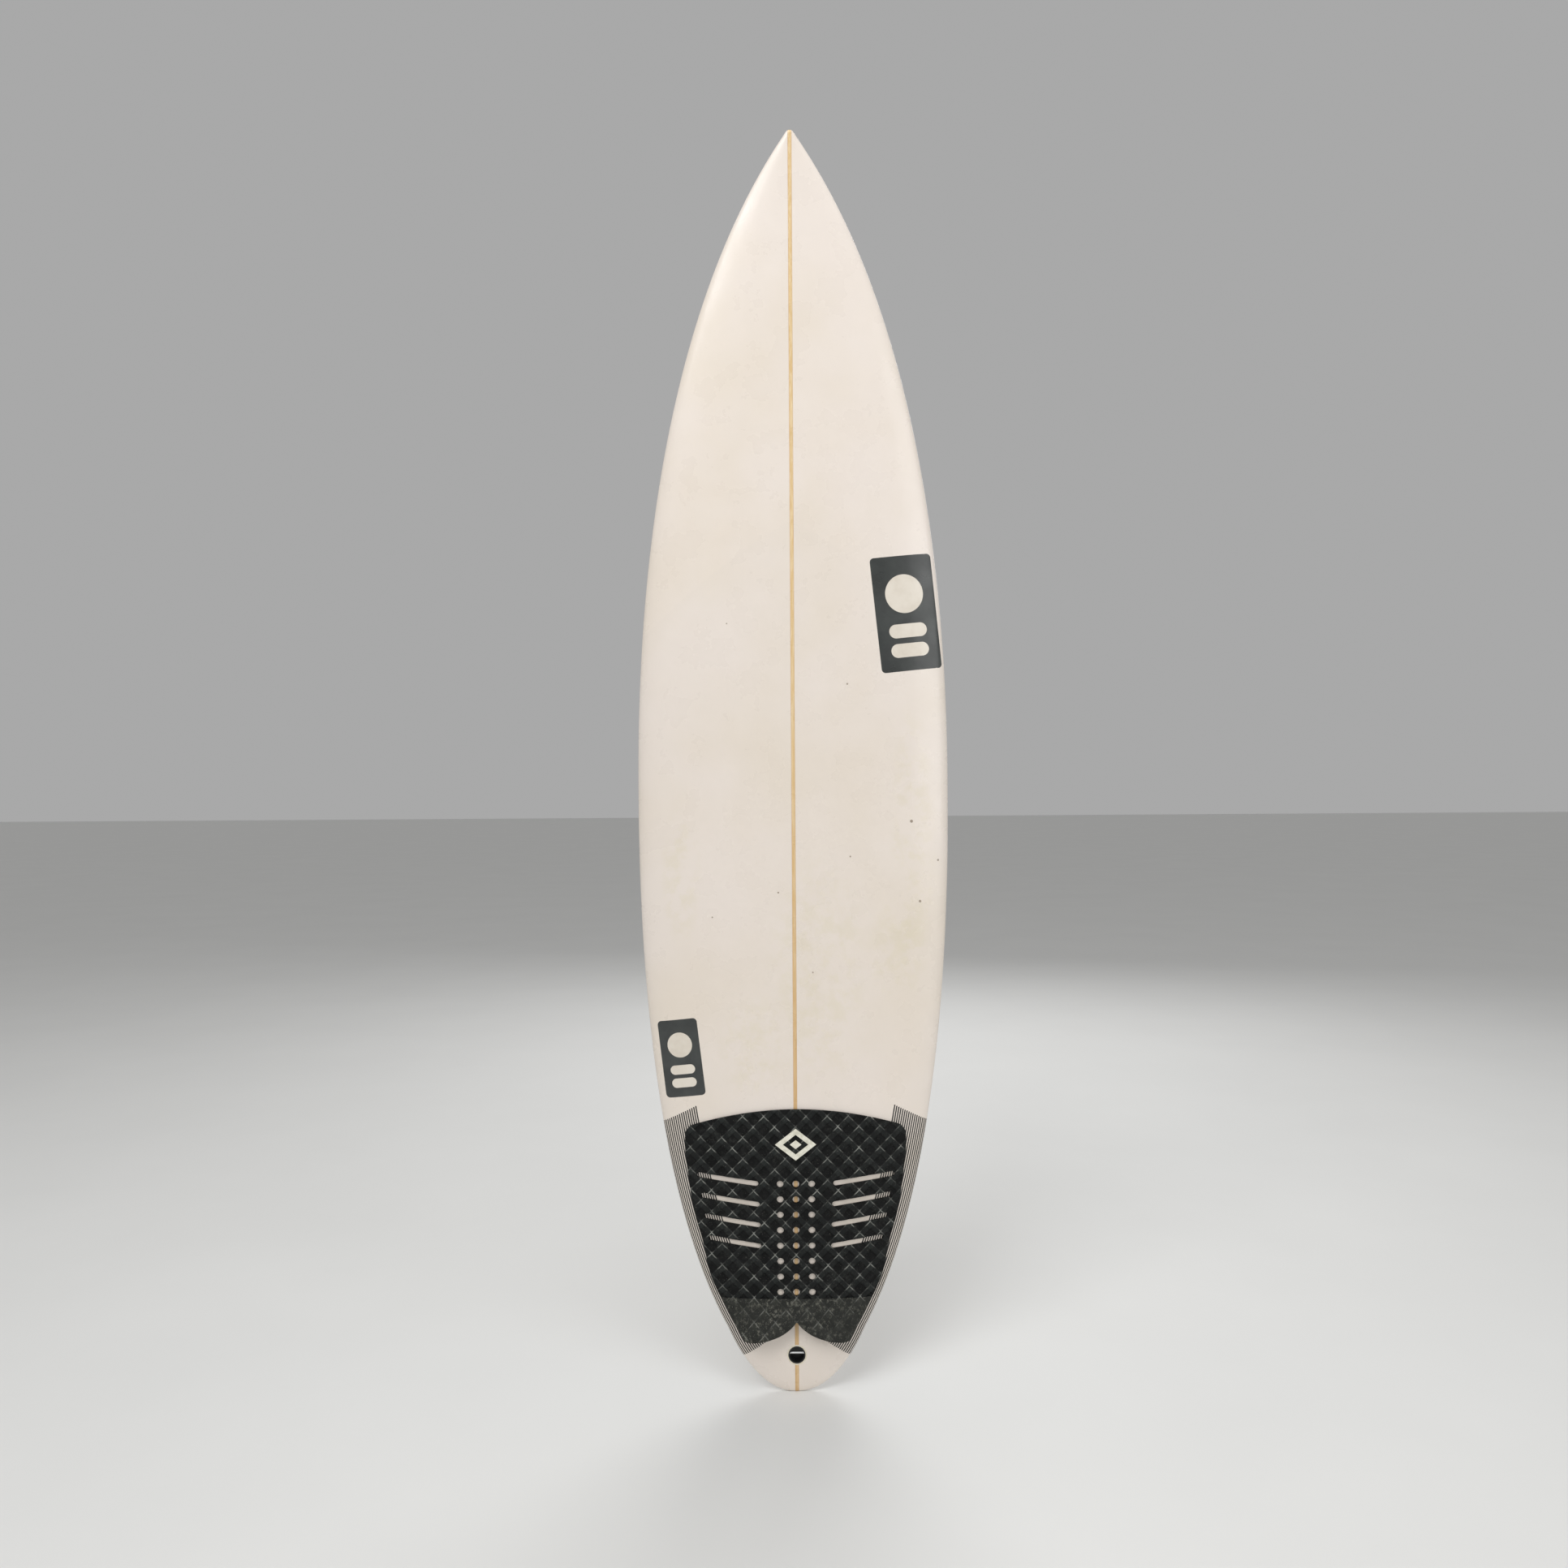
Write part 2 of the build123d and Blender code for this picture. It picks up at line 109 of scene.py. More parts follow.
class Shader:
    """A material under construction: one principled surface with patterns on object coordinates."""

    def __init__(self, name: str) -> None:
        """Start an empty material with that name.

        Args:
            name: The material's name.
        """
        self.material = bpy.data.materials.new(name)
        self.material.use_nodes = True
        self.tree = self.material.node_tree
        self.tree.nodes.clear()
        self.surface = node(self.tree, "ShaderNodeBsdfPrincipled")
        out = node(self.tree, "ShaderNodeOutputMaterial")
        self.tree.links.new(self.surface.outputs["BSDF"], out.inputs["Surface"])
        self.place = node(self.tree, "ShaderNodeTexCoord").outputs["Object"]
        self.axes = node(self.tree, "ShaderNodeSeparateXYZ", {0: self.place}).outputs

    def math(self, operation: str, first: object, second: object = 0.0,
             third: object = 0.0) -> bpy.types.NodeSocket:
        """One arithmetic step.

        Args:
            operation: Blender's name of the step.
            first: A socket or a number, as the other two are.
            second: The second value.
            third: The third value, for a step that takes three.

        Returns:
            The socket of the result.
        """
        made = node(self.tree, "ShaderNodeMath", operation=operation)
        for index, value in enumerate((first, second, third)):
            if isinstance(value, (int, float)):
                made.inputs[index].default_value = value
            else:
                self.tree.links.new(value, made.inputs[index])
        return made.outputs[0]

    def noise(self, size_mm: float, detail: float = 4.0, roughness: float = 0.55,
              stretch: tuple[float, float, float] = (1, 1, 1)) -> bpy.types.NodeSocket:
        """Cloudy pattern with blotches of a real size.

        Args:
            size_mm: About how wide a blotch is.
            detail: How many finer layers lie over it.
            roughness: How strong the finer layers are.
            stretch: How many times longer a blotch is along each axis.

        Returns:
            The socket of the pattern, round a half.
        """
        mapping = node(self.tree, "ShaderNodeMapping", {"Vector": self.place},
                       {"Scale": tuple(1 / s for s in stretch)})
        made = node(self.tree, "ShaderNodeTexNoise", {"Vector": mapping.outputs[0]},
                    {"Scale": 1 / (size_mm * MM), "Detail": detail, "Roughness": roughness})
        return made.outputs["Fac"]

    def ramp(self, value: object, low: float, high: float, bottom: float = 0.0, top: float = 1.0,
             smooth: bool = True) -> bpy.types.NodeSocket:
        """Carry one range of a socket to another, clamped.

        Args:
            value: The socket.
            low: Where the first range starts.
            high: Where it ends, which may be below its start.
            bottom: Result at low.
            top: Result at high.
            smooth: Whether the way between is an S-curve or straight.

        Returns:
            The socket of the result.
        """
        kind = "SMOOTHSTEP" if smooth else "LINEAR"
        made = node(self.tree, "ShaderNodeMapRange", {"Value": value},
                    {"From Min": low, "From Max": high, "To Min": bottom, "To Max": top},
                    interpolation_type=kind, clamp=True)
        return made.outputs[0]

    def mix(self, factor: object, first: object, second: object) -> bpy.types.NodeSocket:
        """Blend two colours.

        Args:
            factor: Socket with the second colour's share.
            first: Hex code or socket of the first colour.
            second: Hex code or socket of the second one.

        Returns:
            The socket of the blend.
        """
        made = node(self.tree, "ShaderNodeMix", {"Factor": factor}, data_type="RGBA")
        for index, value in ((6, first), (7, second)):
            if isinstance(value, str):
                made.inputs[index].default_value = linear(value)
            else:
                self.tree.links.new(value, made.inputs[index])
        return made.outputs[2]

    def blob(self, x: float, z: float, half_x: float, half_z: float, soft: float) -> bpy.types.NodeSocket:
        """Soft elliptical spot: the squares of both distances, as shares of the half sizes, summed and faded.

        Args:
            x: Its middle across the board, in millimetres.
            z: Its middle along the board.
            half_x: Half its width.
            half_z: Half its height.
            soft: Share of it over which it fades out.

        Returns:
            The socket, 1 at the middle and 0 outside.
        """
        across = self.math("MULTIPLY_ADD", self.axes[0], 1 / (half_x * MM), -x / half_x)
        along = self.math("MULTIPLY_ADD", self.axes[2], 1 / (half_z * MM), -z / half_z)
        square = self.math("ADD", self.math("POWER", self.math("ABSOLUTE", across), 2.0),
                           self.math("POWER", self.math("ABSOLUTE", along), 2.0))
        return self.ramp(square, 1.0, 1.0 - soft, 0.0, 1.0)

    def bump(self, height: object, depth_mm: float, strength: float = 1.0,
             below: bpy.types.NodeSocket | None = None) -> bpy.types.NodeSocket:
        """Bump from a height.

        Args:
            height: Socket from 0 to 1.
            depth_mm: How deep that range is.
            strength: How strongly it shows.
            below: Normal socket of a bump under this one.

        Returns:
            The socket of the normal.
        """
        links = {"Height": height}
        if below is not None:
            links["Normal"] = below
        made = node(self.tree, "ShaderNodeBump", links, {"Distance": depth_mm * MM, "Strength": strength})
        return made.outputs[0]

    def finish(self, color: object, roughness: object, normal: bpy.types.NodeSocket | None = None,
               **constants: float) -> bpy.types.Material:
        """Connect the surface's inputs.

        Args:
            color: Socket of the base colour.
            roughness: Socket or number.
            normal: Socket of the bumped normal, if there is one.
            constants: Other inputs by name, with low lines for spaces.

        Returns:
            The finished material.
        """
        for name, value in (("Base Color", color), ("Roughness", roughness)):
            if isinstance(value, float):
                self.surface.inputs[name].default_value = value
            else:
                self.tree.links.new(value, self.surface.inputs[name])
        if normal is not None:
            self.tree.links.new(normal, self.surface.inputs["Normal"])
        for name, value in constants.items():
            self.surface.inputs[name.replace("_", " ")].default_value = value
        return self.material


# ---------------------------------------------------------------- the board's shape


@dataclass(frozen=True)
class BoardShape:
    """The board as cubic curves from station to station, in millimetres, as the frame has it.

    Each row is z, half width, bottom height, thickness, concave and tuck. The section at a station is a
    crown, a rounded rail and a bottom curve; heights grow from the bottom towards the deck. The arc share
    is the cubic handle that makes a quarter of a circle.
    """

    length: float = 1803.0
    apex_share: float = 0.38
    tip_thickness: tuple[float, float] = (14.0, 9.0)
    hip_slope: float = math.tan(math.radians(29.6))
    nose_slope: float = math.tan(math.radians(38.7))
    crown_reach: float = 0.6
    crown_fall: float = 0.62
    arc: float = 0.5523
    bottom_handles: tuple[float, float] = (0.6, 0.4)
    most_tuck: float = 0.6
    least_below: float = 0.2
    least_above: float = 0.3
    crown_crowding: float = 0.7
    normal_step: float = 0.5
    station_samples: int = 400
    shift_samples: int = 200
    crown_samples: int = 600
    bottom_samples: int = 400

    def segments(self) -> list[list[tuple[float, ...]]]:
        """The four runs of control rows: tail, middle, nose and nose cap.

        Returns:
            Each run's four rows: a start, two handles and an end.
        """
        hip = (91.0, 101.0, 45.5, 23.3, 0.3, 3.6)
        wide = (865.0, 231.0, 0.0, 57.0, 3.0, 20.0)
        shoulder = (1798.0, 7.6, 122.0, 9.6, 0.0, 3.0)
        tail = [(0.0, 3.0, 58.0, 1.6, 0.0, 0.5), (0.0, 61.6, 58.0, 17.5, 0.0, 3.0),
                (83.7, 101.0 - 7.3 * self.hip_slope, 46.4, 22.6, 0.3, 3.4), hip]
        middle = [hip, (303.0, 101.0 + 212.0 * self.hip_slope, 18.2, 43.6, 1.5, 10.0),
                  (706.0, 231.0, 0.0, 57.0, 3.0, 20.0), wide]
        nose = [wide, (964.6, 231.0, 0.0, 57.0, 3.0, 20.0),
                (1514.0, 7.6 + 284.0 * self.nose_slope, 24.9, 40.8, 0.5, 16.0), shoulder]
        cap = [shoulder, (1800.6, 7.6 - 2.6 * self.nose_slope, 122.9, 9.3, 0.0, 2.0),
               (self.length, 4.2, 124.0, 5.3, 0.0, 1.2), (self.length, 1.2, 124.0, 1.2, 0.0, 0.4)]
        return [tail, middle, nose, cap]

    def control(self, row: tuple[float, ...]) -> list[float]:
        """Z, half width, deck, apex, edge, centre and tuck of one control row.

        Args:
            row: One row of segments.

        Returns:
            The seven columns.
        """
        z, width, bottom, thick, hollow, tuck = row
        full = {0.0: self.tip_thickness[0], self.length: self.tip_thickness[1]}.get(z, thick)
        apex = bottom + self.apex_share * full
        below = max(self.apex_share * thick, self.least_below)
        above = max((1 - self.apex_share) * thick, self.least_above)
        return [z, width, apex + above, apex, apex - below - hollow, apex - below, tuck]

    def rows(self, counts: tuple[int, int, int, int]) -> Array:
        """Stations along the board by the cubic Bezier formula, evenly spaced in each run's parameter.

        Args:
            counts: How many steps each of the four runs gets.

        Returns:
            One row per station with the seven columns that control gives.
        """
        made = []
        for segment, count in zip(self.segments(), counts):
            points = np.array([self.control(row) for row in segment])
            t = np.linspace(0, 1, count + 1)[:, None]
            curve = ((1 - t) ** 3 * points[0] + 3 * t * (1 - t) ** 2 * points[1]
                     + 3 * t * t * (1 - t) * points[2] + t ** 3 * points[3])
            made.append(curve if not made else curve[1:])
        return np.vstack(made)

    def at(self, z: Array) -> Array:
        """The seven columns at any heights z, read between fine stations."""
        table = self.rows((self.station_samples,) * 4)
        return np.stack([np.interp(z, table[:, 0], table[:, i]) for i in range(7)], axis=-1)

    def shift(self) -> float:
        """Frame Y of height zero: midway between the highest deck and the lowest rail edge."""
        table = self.rows((self.shift_samples,) * 4)
        return float(table[:, 2].max() + table[:, 4].min()) / 2

    def crown(self, share: Array) -> Array:
        """Share of the crown's height left at a share of the half width: the crown's own cubic curve.

        Args:
            share: Distances from the middle as shares of the half width.

        Returns:
            Shares of the crown's height, 1 at the middle and 0 at the rail.
        """
        u = np.linspace(0, 1, self.crown_samples)
        across = 3 * u * (1 - u) ** 2 * self.crown_reach + 3 * u * u * (1 - u) + u ** 3
        up = (1 - u) ** 3 + 3 * u * (1 - u) ** 2 + 3 * u * u * (1 - u) * self.crown_fall
        return np.interp(share, across, up)

    def deck(self, x: Array, z: Array) -> Array:
        """Height of the deck over any points x, z.

        Args:
            x: Places across.
            z: Places along, one for each x.

        Returns:
            The heights.
        """
        row = self.at(z)
        share = np.clip(np.abs(x) / row[..., 1], 0, 1)
        return row[..., 3] + (row[..., 2] - row[..., 3]) * self.crown(share)

    def deck_normal(self, x: Array, z: Array) -> Array:
        """Unit vectors out of the deck, from the height's change over a small step on either side.

        Args:
            x: Places across.
            z: Places along, one for each x.

        Returns:
            One vector to a row, in the frame's axes.
        """
        step = self.normal_step
        slope_x = (self.deck(x + step, z) - self.deck(x - step, z)) / (2 * step)
        slope_z = (self.deck(x, z + step) - self.deck(x, z - step)) / (2 * step)
        out = np.stack([-slope_x, -np.ones_like(x), -slope_z], axis=1)
        return out / np.linalg.norm(out, axis=1, keepdims=True)

    def bottom(self, x: Array, z: Array) -> Array:
        """Height of the bottom under any points x, z inside the rails' tuck: the bottom's cubic curve.

        Args:
            x: Places across.
            z: Places along, one for each x.

        Returns:
            The heights.
        """
        row = self.at(z)
        flat = row[..., 1] - np.minimum(row[..., 6], self.most_tuck * row[..., 1])
        u = np.linspace(0, 1, self.bottom_samples)
        outer, inner = self.bottom_handles
        across = (1 - u) ** 3 + 3 * u * (1 - u) ** 2 * outer + 3 * u * u * (1 - u) * inner
        centre = 3 * u * u * (1 - u) + u ** 3
        part = np.interp(-np.clip(np.abs(x) / flat, 0, 1), -across, centre)
        return row[..., 4] + (row[..., 5] - row[..., 4]) * part

    def half_section(self, rows: Array, steps: tuple[int, int, int]) -> tuple[Array, Array]:
        """Right half of each section from the deck's middle round the rail to the bottom's middle.

        Args:
            rows: Stations, as rows gives them.
            steps: How many steps the crown, the rail and the bottom take.

        Returns:
            X and height, one row per station.
        """
        _, width, deck, apex, edge, centre, tuck = (c[:, None] for c in rows.T)
        flat = width - np.minimum(tuck, self.most_tuck * width)
        outer, inner = self.bottom_handles
        crown = ([0 * width, self.crown_reach * width, width, width],
                 [deck, deck, apex + self.crown_fall * (deck - apex), apex])
        rail = ([width, width, width - (1 - self.arc) * (width - flat), flat],
                [apex, apex - self.arc * (apex - edge), edge, edge])
        bottom = ([flat, outer * flat, inner * flat, 0 * flat], [edge, edge, centre, centre])
        xs, hs = [], []
        for curve, count, power in zip((crown, rail, bottom), steps, (self.crown_crowding, 1.0, 1.0)):
            t = np.linspace(0, 1, count + 1)[None, :] ** power
            weights = ((1 - t) ** 3, 3 * t * (1 - t) ** 2, 3 * t * t * (1 - t), t ** 3)
            skip = 0 if not xs else 1
            xs.append(sum(w * c for w, c in zip(weights, curve[0]))[:, skip:])
            hs.append(sum(w * c for w, c in zip(weights, curve[1]))[:, skip:])
        return np.hstack(xs), np.hstack(hs)


# ---------------------------------------------------------------- meshes


def make_object(name: str, points_mm: Array, faces: Array | list, finish: bpy.types.Material,
                smooth_angle: float = 40.0) -> bpy.types.Object:
    """Put a mesh into the scene and let it ride on the board.

    Args:
        name: The piece's name.
        points_mm: Vertices in the frame's axes, millimetres.
        faces: Rows of vertex numbers.
        finish: The piece's material.
        smooth_angle: Edges that turn by more than this stay sharp.

    Returns:
        The new object.
    """
    mesh = bpy.data.meshes.new(name)
    rows = faces.tolist() if isinstance(faces, np.ndarray) else faces
    mesh.from_pydata((points_mm * MM).tolist(), [], rows)
    mesh.validate()
    mesh.materials.append(finish)
    mesh.polygons.foreach_set("use_smooth", np.ones(len(mesh.polygons), dtype=bool))
    mesh.set_sharp_from_angle(angle=math.radians(smooth_angle))
    mesh.update()
    made = bpy.data.objects.new(name, mesh)
    bpy.context.scene.collection.objects.link(made)
    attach(made, "root")
    LOG.info("made %s with %d faces", name, len(mesh.polygons))
    return made


def grid_faces(rows: int, columns: int) -> Array:
    """Quads of a grid of vertices numbered row by row."""
    corner = (np.arange(rows - 1)[:, None] * columns + np.arange(columns - 1)[None, :]).ravel()
    return np.stack([corner, corner + 1, corner + columns + 1, corner + columns], axis=1)


def sheet_between(top: Array, bottom: Array, faces: Array) -> tuple[Array, list]:
    """Close two copies of a sheet into one solid: top, bottom turned over, and a wall at each open edge.

    Args:
        top: Vertices of the outer side; its faces look outwards.
        bottom: The same vertices on the inner side.
        faces: Quads of the outer side.

    Returns:
        Vertices and faces of the closed solid.
    """
    count = len(top)
    edges = np.concatenate([faces[:, [i, (i + 1) % 4]] for i in range(4)])
    key = edges[:, 0].astype(np.int64) * count + edges[:, 1]
    back = edges[:, 1].astype(np.int64) * count + edges[:, 0]
    rim = edges[~np.isin(key, back)]
    walls = np.stack([rim[:, 1], rim[:, 0], rim[:, 0] + count, rim[:, 1] + count], axis=1)
    every = np.vstack([faces, faces[:, ::-1] + count, walls])
    used, numbers = np.unique(every, return_inverse=True)
    points = np.vstack([top, bottom])[used]
    return points, numbers.reshape(every.shape)


def disc_faces(rings: int, spokes: int) -> tuple[Array, Array]:
    """Faces of a disc: vertex 0 is its middle, then each ring in turn.

    Args:
        rings: How many rings lie round the middle.
        spokes: How many vertices a ring has.

    Returns:
        Triangles of the fan in the middle, and quads between the rings.
    """
    ring = np.arange(spokes)
    after = (ring + 1) % spokes
    fan = np.stack([np.zeros_like(ring), 1 + after, 1 + ring], axis=1)
    first = 1 + np.arange(rings - 1)[:, None] * spokes
    inner_a, inner_b = (first + ring).ravel(), (first + after).ravel()
    quads = np.stack([inner_a, inner_b, inner_b + spokes, inner_a + spokes], axis=1)
    return fan, quads


@dataclass
class BoardSkin:
    """The glassed board: a closed skin with pockets for plug and fin boxes, and the bottom glass."""

    shape: BoardShape
    station_steps: tuple[int, int, int, int] = (44, 96, 120, 14)
    section_steps: tuple[int, int, int] = (40, 12, 20)
    lap_mm: float = 38.0
    lap_ends_mm: tuple[float, float] = (70.0, 1713.0)
    bottom_lift_mm: float = 0.04
    bottom_depth_mm: float = 0.5
    fine_to_mm: float = 430.0
    bottom_columns: int = 141
    bottom_rows: tuple[int, int] = (171, 87)
    outline_reach_mm: float = 2.6
    pocket_reach_mm: float = 4.0
    skin_crease_deg: float = 60.0
    pocket_crease_deg: float = 50.0
    glass_crease_deg: float = 30.0

    def build(self, deck_finish: bpy.types.Material, bottom_finish: bpy.types.Material) -> None:
        """Make both skins and hide the CAD layers they stand for.

        Args:
            deck_finish: Material of the closed skin.
            bottom_finish: Material of the bottom glass.
        """
        skin = self.closed_skin(deck_finish)
        self.cut_pockets(skin)
        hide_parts("deck_laminate")
        under = self.bottom_glass(bottom_finish)
        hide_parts("bottom_laminate")

    def closed_skin(self, finish: bpy.types.Material) -> bpy.types.Object:
        """Sections carried from tail to nose, each a full ring, with a small fan over each tip.

        Args:
            finish: The piece's material.

        Returns:
            The skin, still without pockets.
        """
        rows = self.shape.rows(self.station_steps)
        x, height = self.shape.half_section(rows, self.section_steps)
        ring_x = np.hstack([x, -x[:, -2:0:-1]])
        ring_h = np.hstack([height, height[:, -2:0:-1]])
        count, around = ring_x.shape
        z = np.repeat(rows[:, :1], around, axis=1)
        points = np.stack([ring_x, self.shape.shift() - ring_h, z], axis=-1).reshape(-1, 3)
        step = np.arange(around)
        after = (step + 1) % around
        first = np.arange(count - 1)[:, None] * around
        a, b = (first + step).ravel(), (first + after).ravel()
        sides = np.stack([a, b, b + around, a + around], axis=1)
        tail_tip, nose_tip = len(points), len(points) + 1
        last = (count - 1) * around
        tail = np.stack([np.full(around, tail_tip), after, step], axis=1)
        nose = np.stack([np.full(around, nose_tip), last + step, last + after], axis=1)
        tips = np.stack([points[:around].mean(axis=0), points[last:last + around].mean(axis=0)])
        faces = sides.tolist() + tail.tolist() + nose.tolist()
        return make_object("glassed_board", np.vstack([points, tips]), faces, finish, self.skin_crease_deg)

    def cut_pockets(self, skin: bpy.types.Object) -> None:
        """Sink the pockets of the leash plug and the fin boxes, each the outer shape of its CAD resin.

        Args:
            skin: The closed skin, changed in place.
        """
        for name in ("leash_plug_resin", *FIN_SEATS):
            cutter = self.pocket_cutter(name)
            change = skin.modifiers.new("pocket", "BOOLEAN")
            change.operation = "DIFFERENCE"
            change.solver = "EXACT"
            change.object = cutter
            graph = bpy.context.evaluated_depsgraph_get()
            cut = bpy.data.meshes.new_from_object(skin.evaluated_get(graph))
            skin.modifiers.clear()
            old, skin.data = skin.data, cut
            bpy.data.meshes.remove(old)
            bpy.data.objects.remove(cutter)
        drop_slivers(skin)
        skin.data.set_sharp_from_angle(angle=math.radians(self.pocket_crease_deg))

    def pocket_cutter(self, node_name: str) -> bpy.types.Object:
        """A closed block round one resin seat: the convex hull of its mesh and of a copy set outwards.

        Args:
            node_name: The seat's CAD node.

        Returns:
            The block, to be removed after the cut.
        """
        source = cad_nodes()[node_name].data.vertices
        flat = np.empty(len(source) * 3)
        source.foreach_get("co", flat)
        points = flat.reshape(-1, 3)
        outward = -1.0 if node_name.startswith("leash") else 1.0
        lifted = points.copy()
        lifted[:, 1] += outward * self.pocket_reach_mm * MM
        mesh = bpy.data.meshes.new("pocket_cutter")
        mesh.from_pydata(np.vstack([points, lifted]).tolist(), [], [])
        shell = bmesh.new()
        shell.from_mesh(mesh)
        bmesh.ops.convex_hull(shell, input=shell.verts)
        loose = [v for v in shell.verts if not v.link_faces]
        bmesh.ops.delete(shell, geom=loose, context="VERTS")
        bmesh.ops.recalc_face_normals(shell, faces=shell.faces)
        shell.to_mesh(mesh)
        shell.free()
        made = bpy.data.objects.new("pocket_cutter", mesh)
        bpy.context.scene.collection.objects.link(made)
        return made

    def bottom_glass(self, finish: bpy.types.Material) -> bpy.types.Object:
        """Sheet over the bottom inside the lap line, with an opening round each fin box's resin.

        Its rows are close together up to the last fin box and wider apart from there to the nose.

        Args:
            finish: The piece's material.

        Returns:
            The sheet, closed into a thin solid.
        """
        across = np.linspace(-1, 1, self.bottom_columns)
        start, end = self.lap_ends_mm
        close = np.linspace(start, self.fine_to_mm, self.bottom_rows[0])[:-1]
        along = np.concatenate([close, np.linspace(self.fine_to_mm, end, self.bottom_rows[1])])
        half = self.shape.at(along)[:, 1] - self.lap_mm
        x = half[:, None] * across[None, :]
        z = np.repeat(along[:, None], len(across), axis=1)
        openings = [FinSeat(name).outline() for name in FIN_SEATS]
        flat = np.stack([x.ravel(), z.ravel()], axis=1)
        flat, faces = cut_openings(flat, grid_faces(*x.shape), openings, self.outline_reach_mm)
        height = self.shape.bottom(flat[:, 0], flat[:, 1])
        y = self.shape.shift() - height
        outer = np.stack([flat[:, 0], y + self.bottom_lift_mm, flat[:, 1]], axis=1)
        inner = np.stack([flat[:, 0], y - self.bottom_depth_mm, flat[:, 1]], axis=1)
        points, closed = sheet_between(outer, inner, faces[:, ::-1])
        made = make_object("bottom_glass", points, closed, finish, self.glass_crease_deg)
        drop_slivers(made)
        return made


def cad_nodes() -> dict[str, bpy.types.Object]:
    """The CAD nodes by name."""
    return frame["nodes"]


@dataclass(frozen=True)
class FinSeat:
    """The long rounded outline of a fin box's seat: every point within a radius of a middle line.

    The middle line runs along the box's own toe-in. A side box's seat is moved out a little by its cant.
    """

    node_name: str
    radius_mm: float = 8.5
    toe_in_deg: float = 2.0
    cant_shift_mm: float = 0.85
    least_offset_mm: float = 20.0

    def outline(self) -> Distance:
        """Signed distance in X and Z to the outline, negative inside.

        Returns:
            The distance as a function of points, one to a row.
        """
        low, high = (np.array(corner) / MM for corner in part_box(self.node_name))
        offset = low[0] + high[0]
        side = np.sign(offset) if abs(offset) > self.least_offset_mm else 0.0
        middle = np.array([offset / 2, (low[2] + high[2]) / 2])
        half_run = (high[2] - low[2]) / 2 - self.radius_mm
        toe_in = math.radians(self.toe_in_deg)
        heading = np.array([-side * math.sin(toe_in), math.cos(toe_in * abs(side))])
        if side:
            middle = middle + np.array([side * self.cant_shift_mm, 0.0])

        def distance(points: Array) -> Array:
            """Distance from each point to the outline, negative inside."""
            away = points - middle
            along = np.clip(away @ heading, -half_run, half_run)
            return np.linalg.norm(away - along[:, None] * heading, axis=1) - self.radius_mm

        return distance


def cut_openings(flat: Array, faces: Array, openings: list[Distance], reach: float) -> tuple[Array, Array]:
    """Open a flat grid where a signed distance is negative, with the grid's points drawn onto the outline.

    Args:
        flat: Grid points in X and Z.
        faces: Quads of the grid.
        openings: Signed distance of each opening, negative inside.
        reach: How far from an outline a point may be and still be drawn onto it, about one grid step.

    Returns:
        The moved points and the faces that stay.
    """
    flat = flat.copy()
    gone = np.zeros(len(flat), dtype=bool)
    small = 0.01
    outside, inside = 0.45 * reach, -1.6 * reach
    for opening in openings:
        value = opening(flat)
        near = (value < outside) & (value > inside)
        slope = np.stack([opening(flat[near] + [small, 0]) - value[near],
                          opening(flat[near] + [0, small]) - value[near]], axis=1) / small
        length = np.maximum(np.linalg.norm(slope, axis=1, keepdims=True), 1e-6)
        flat[near] -= slope / length * value[near][:, None]
        gone |= value < outside
    keep = ~gone[faces].all(axis=1)
    return flat, faces[keep]


# ---------------------------------------------------------------- rail tows


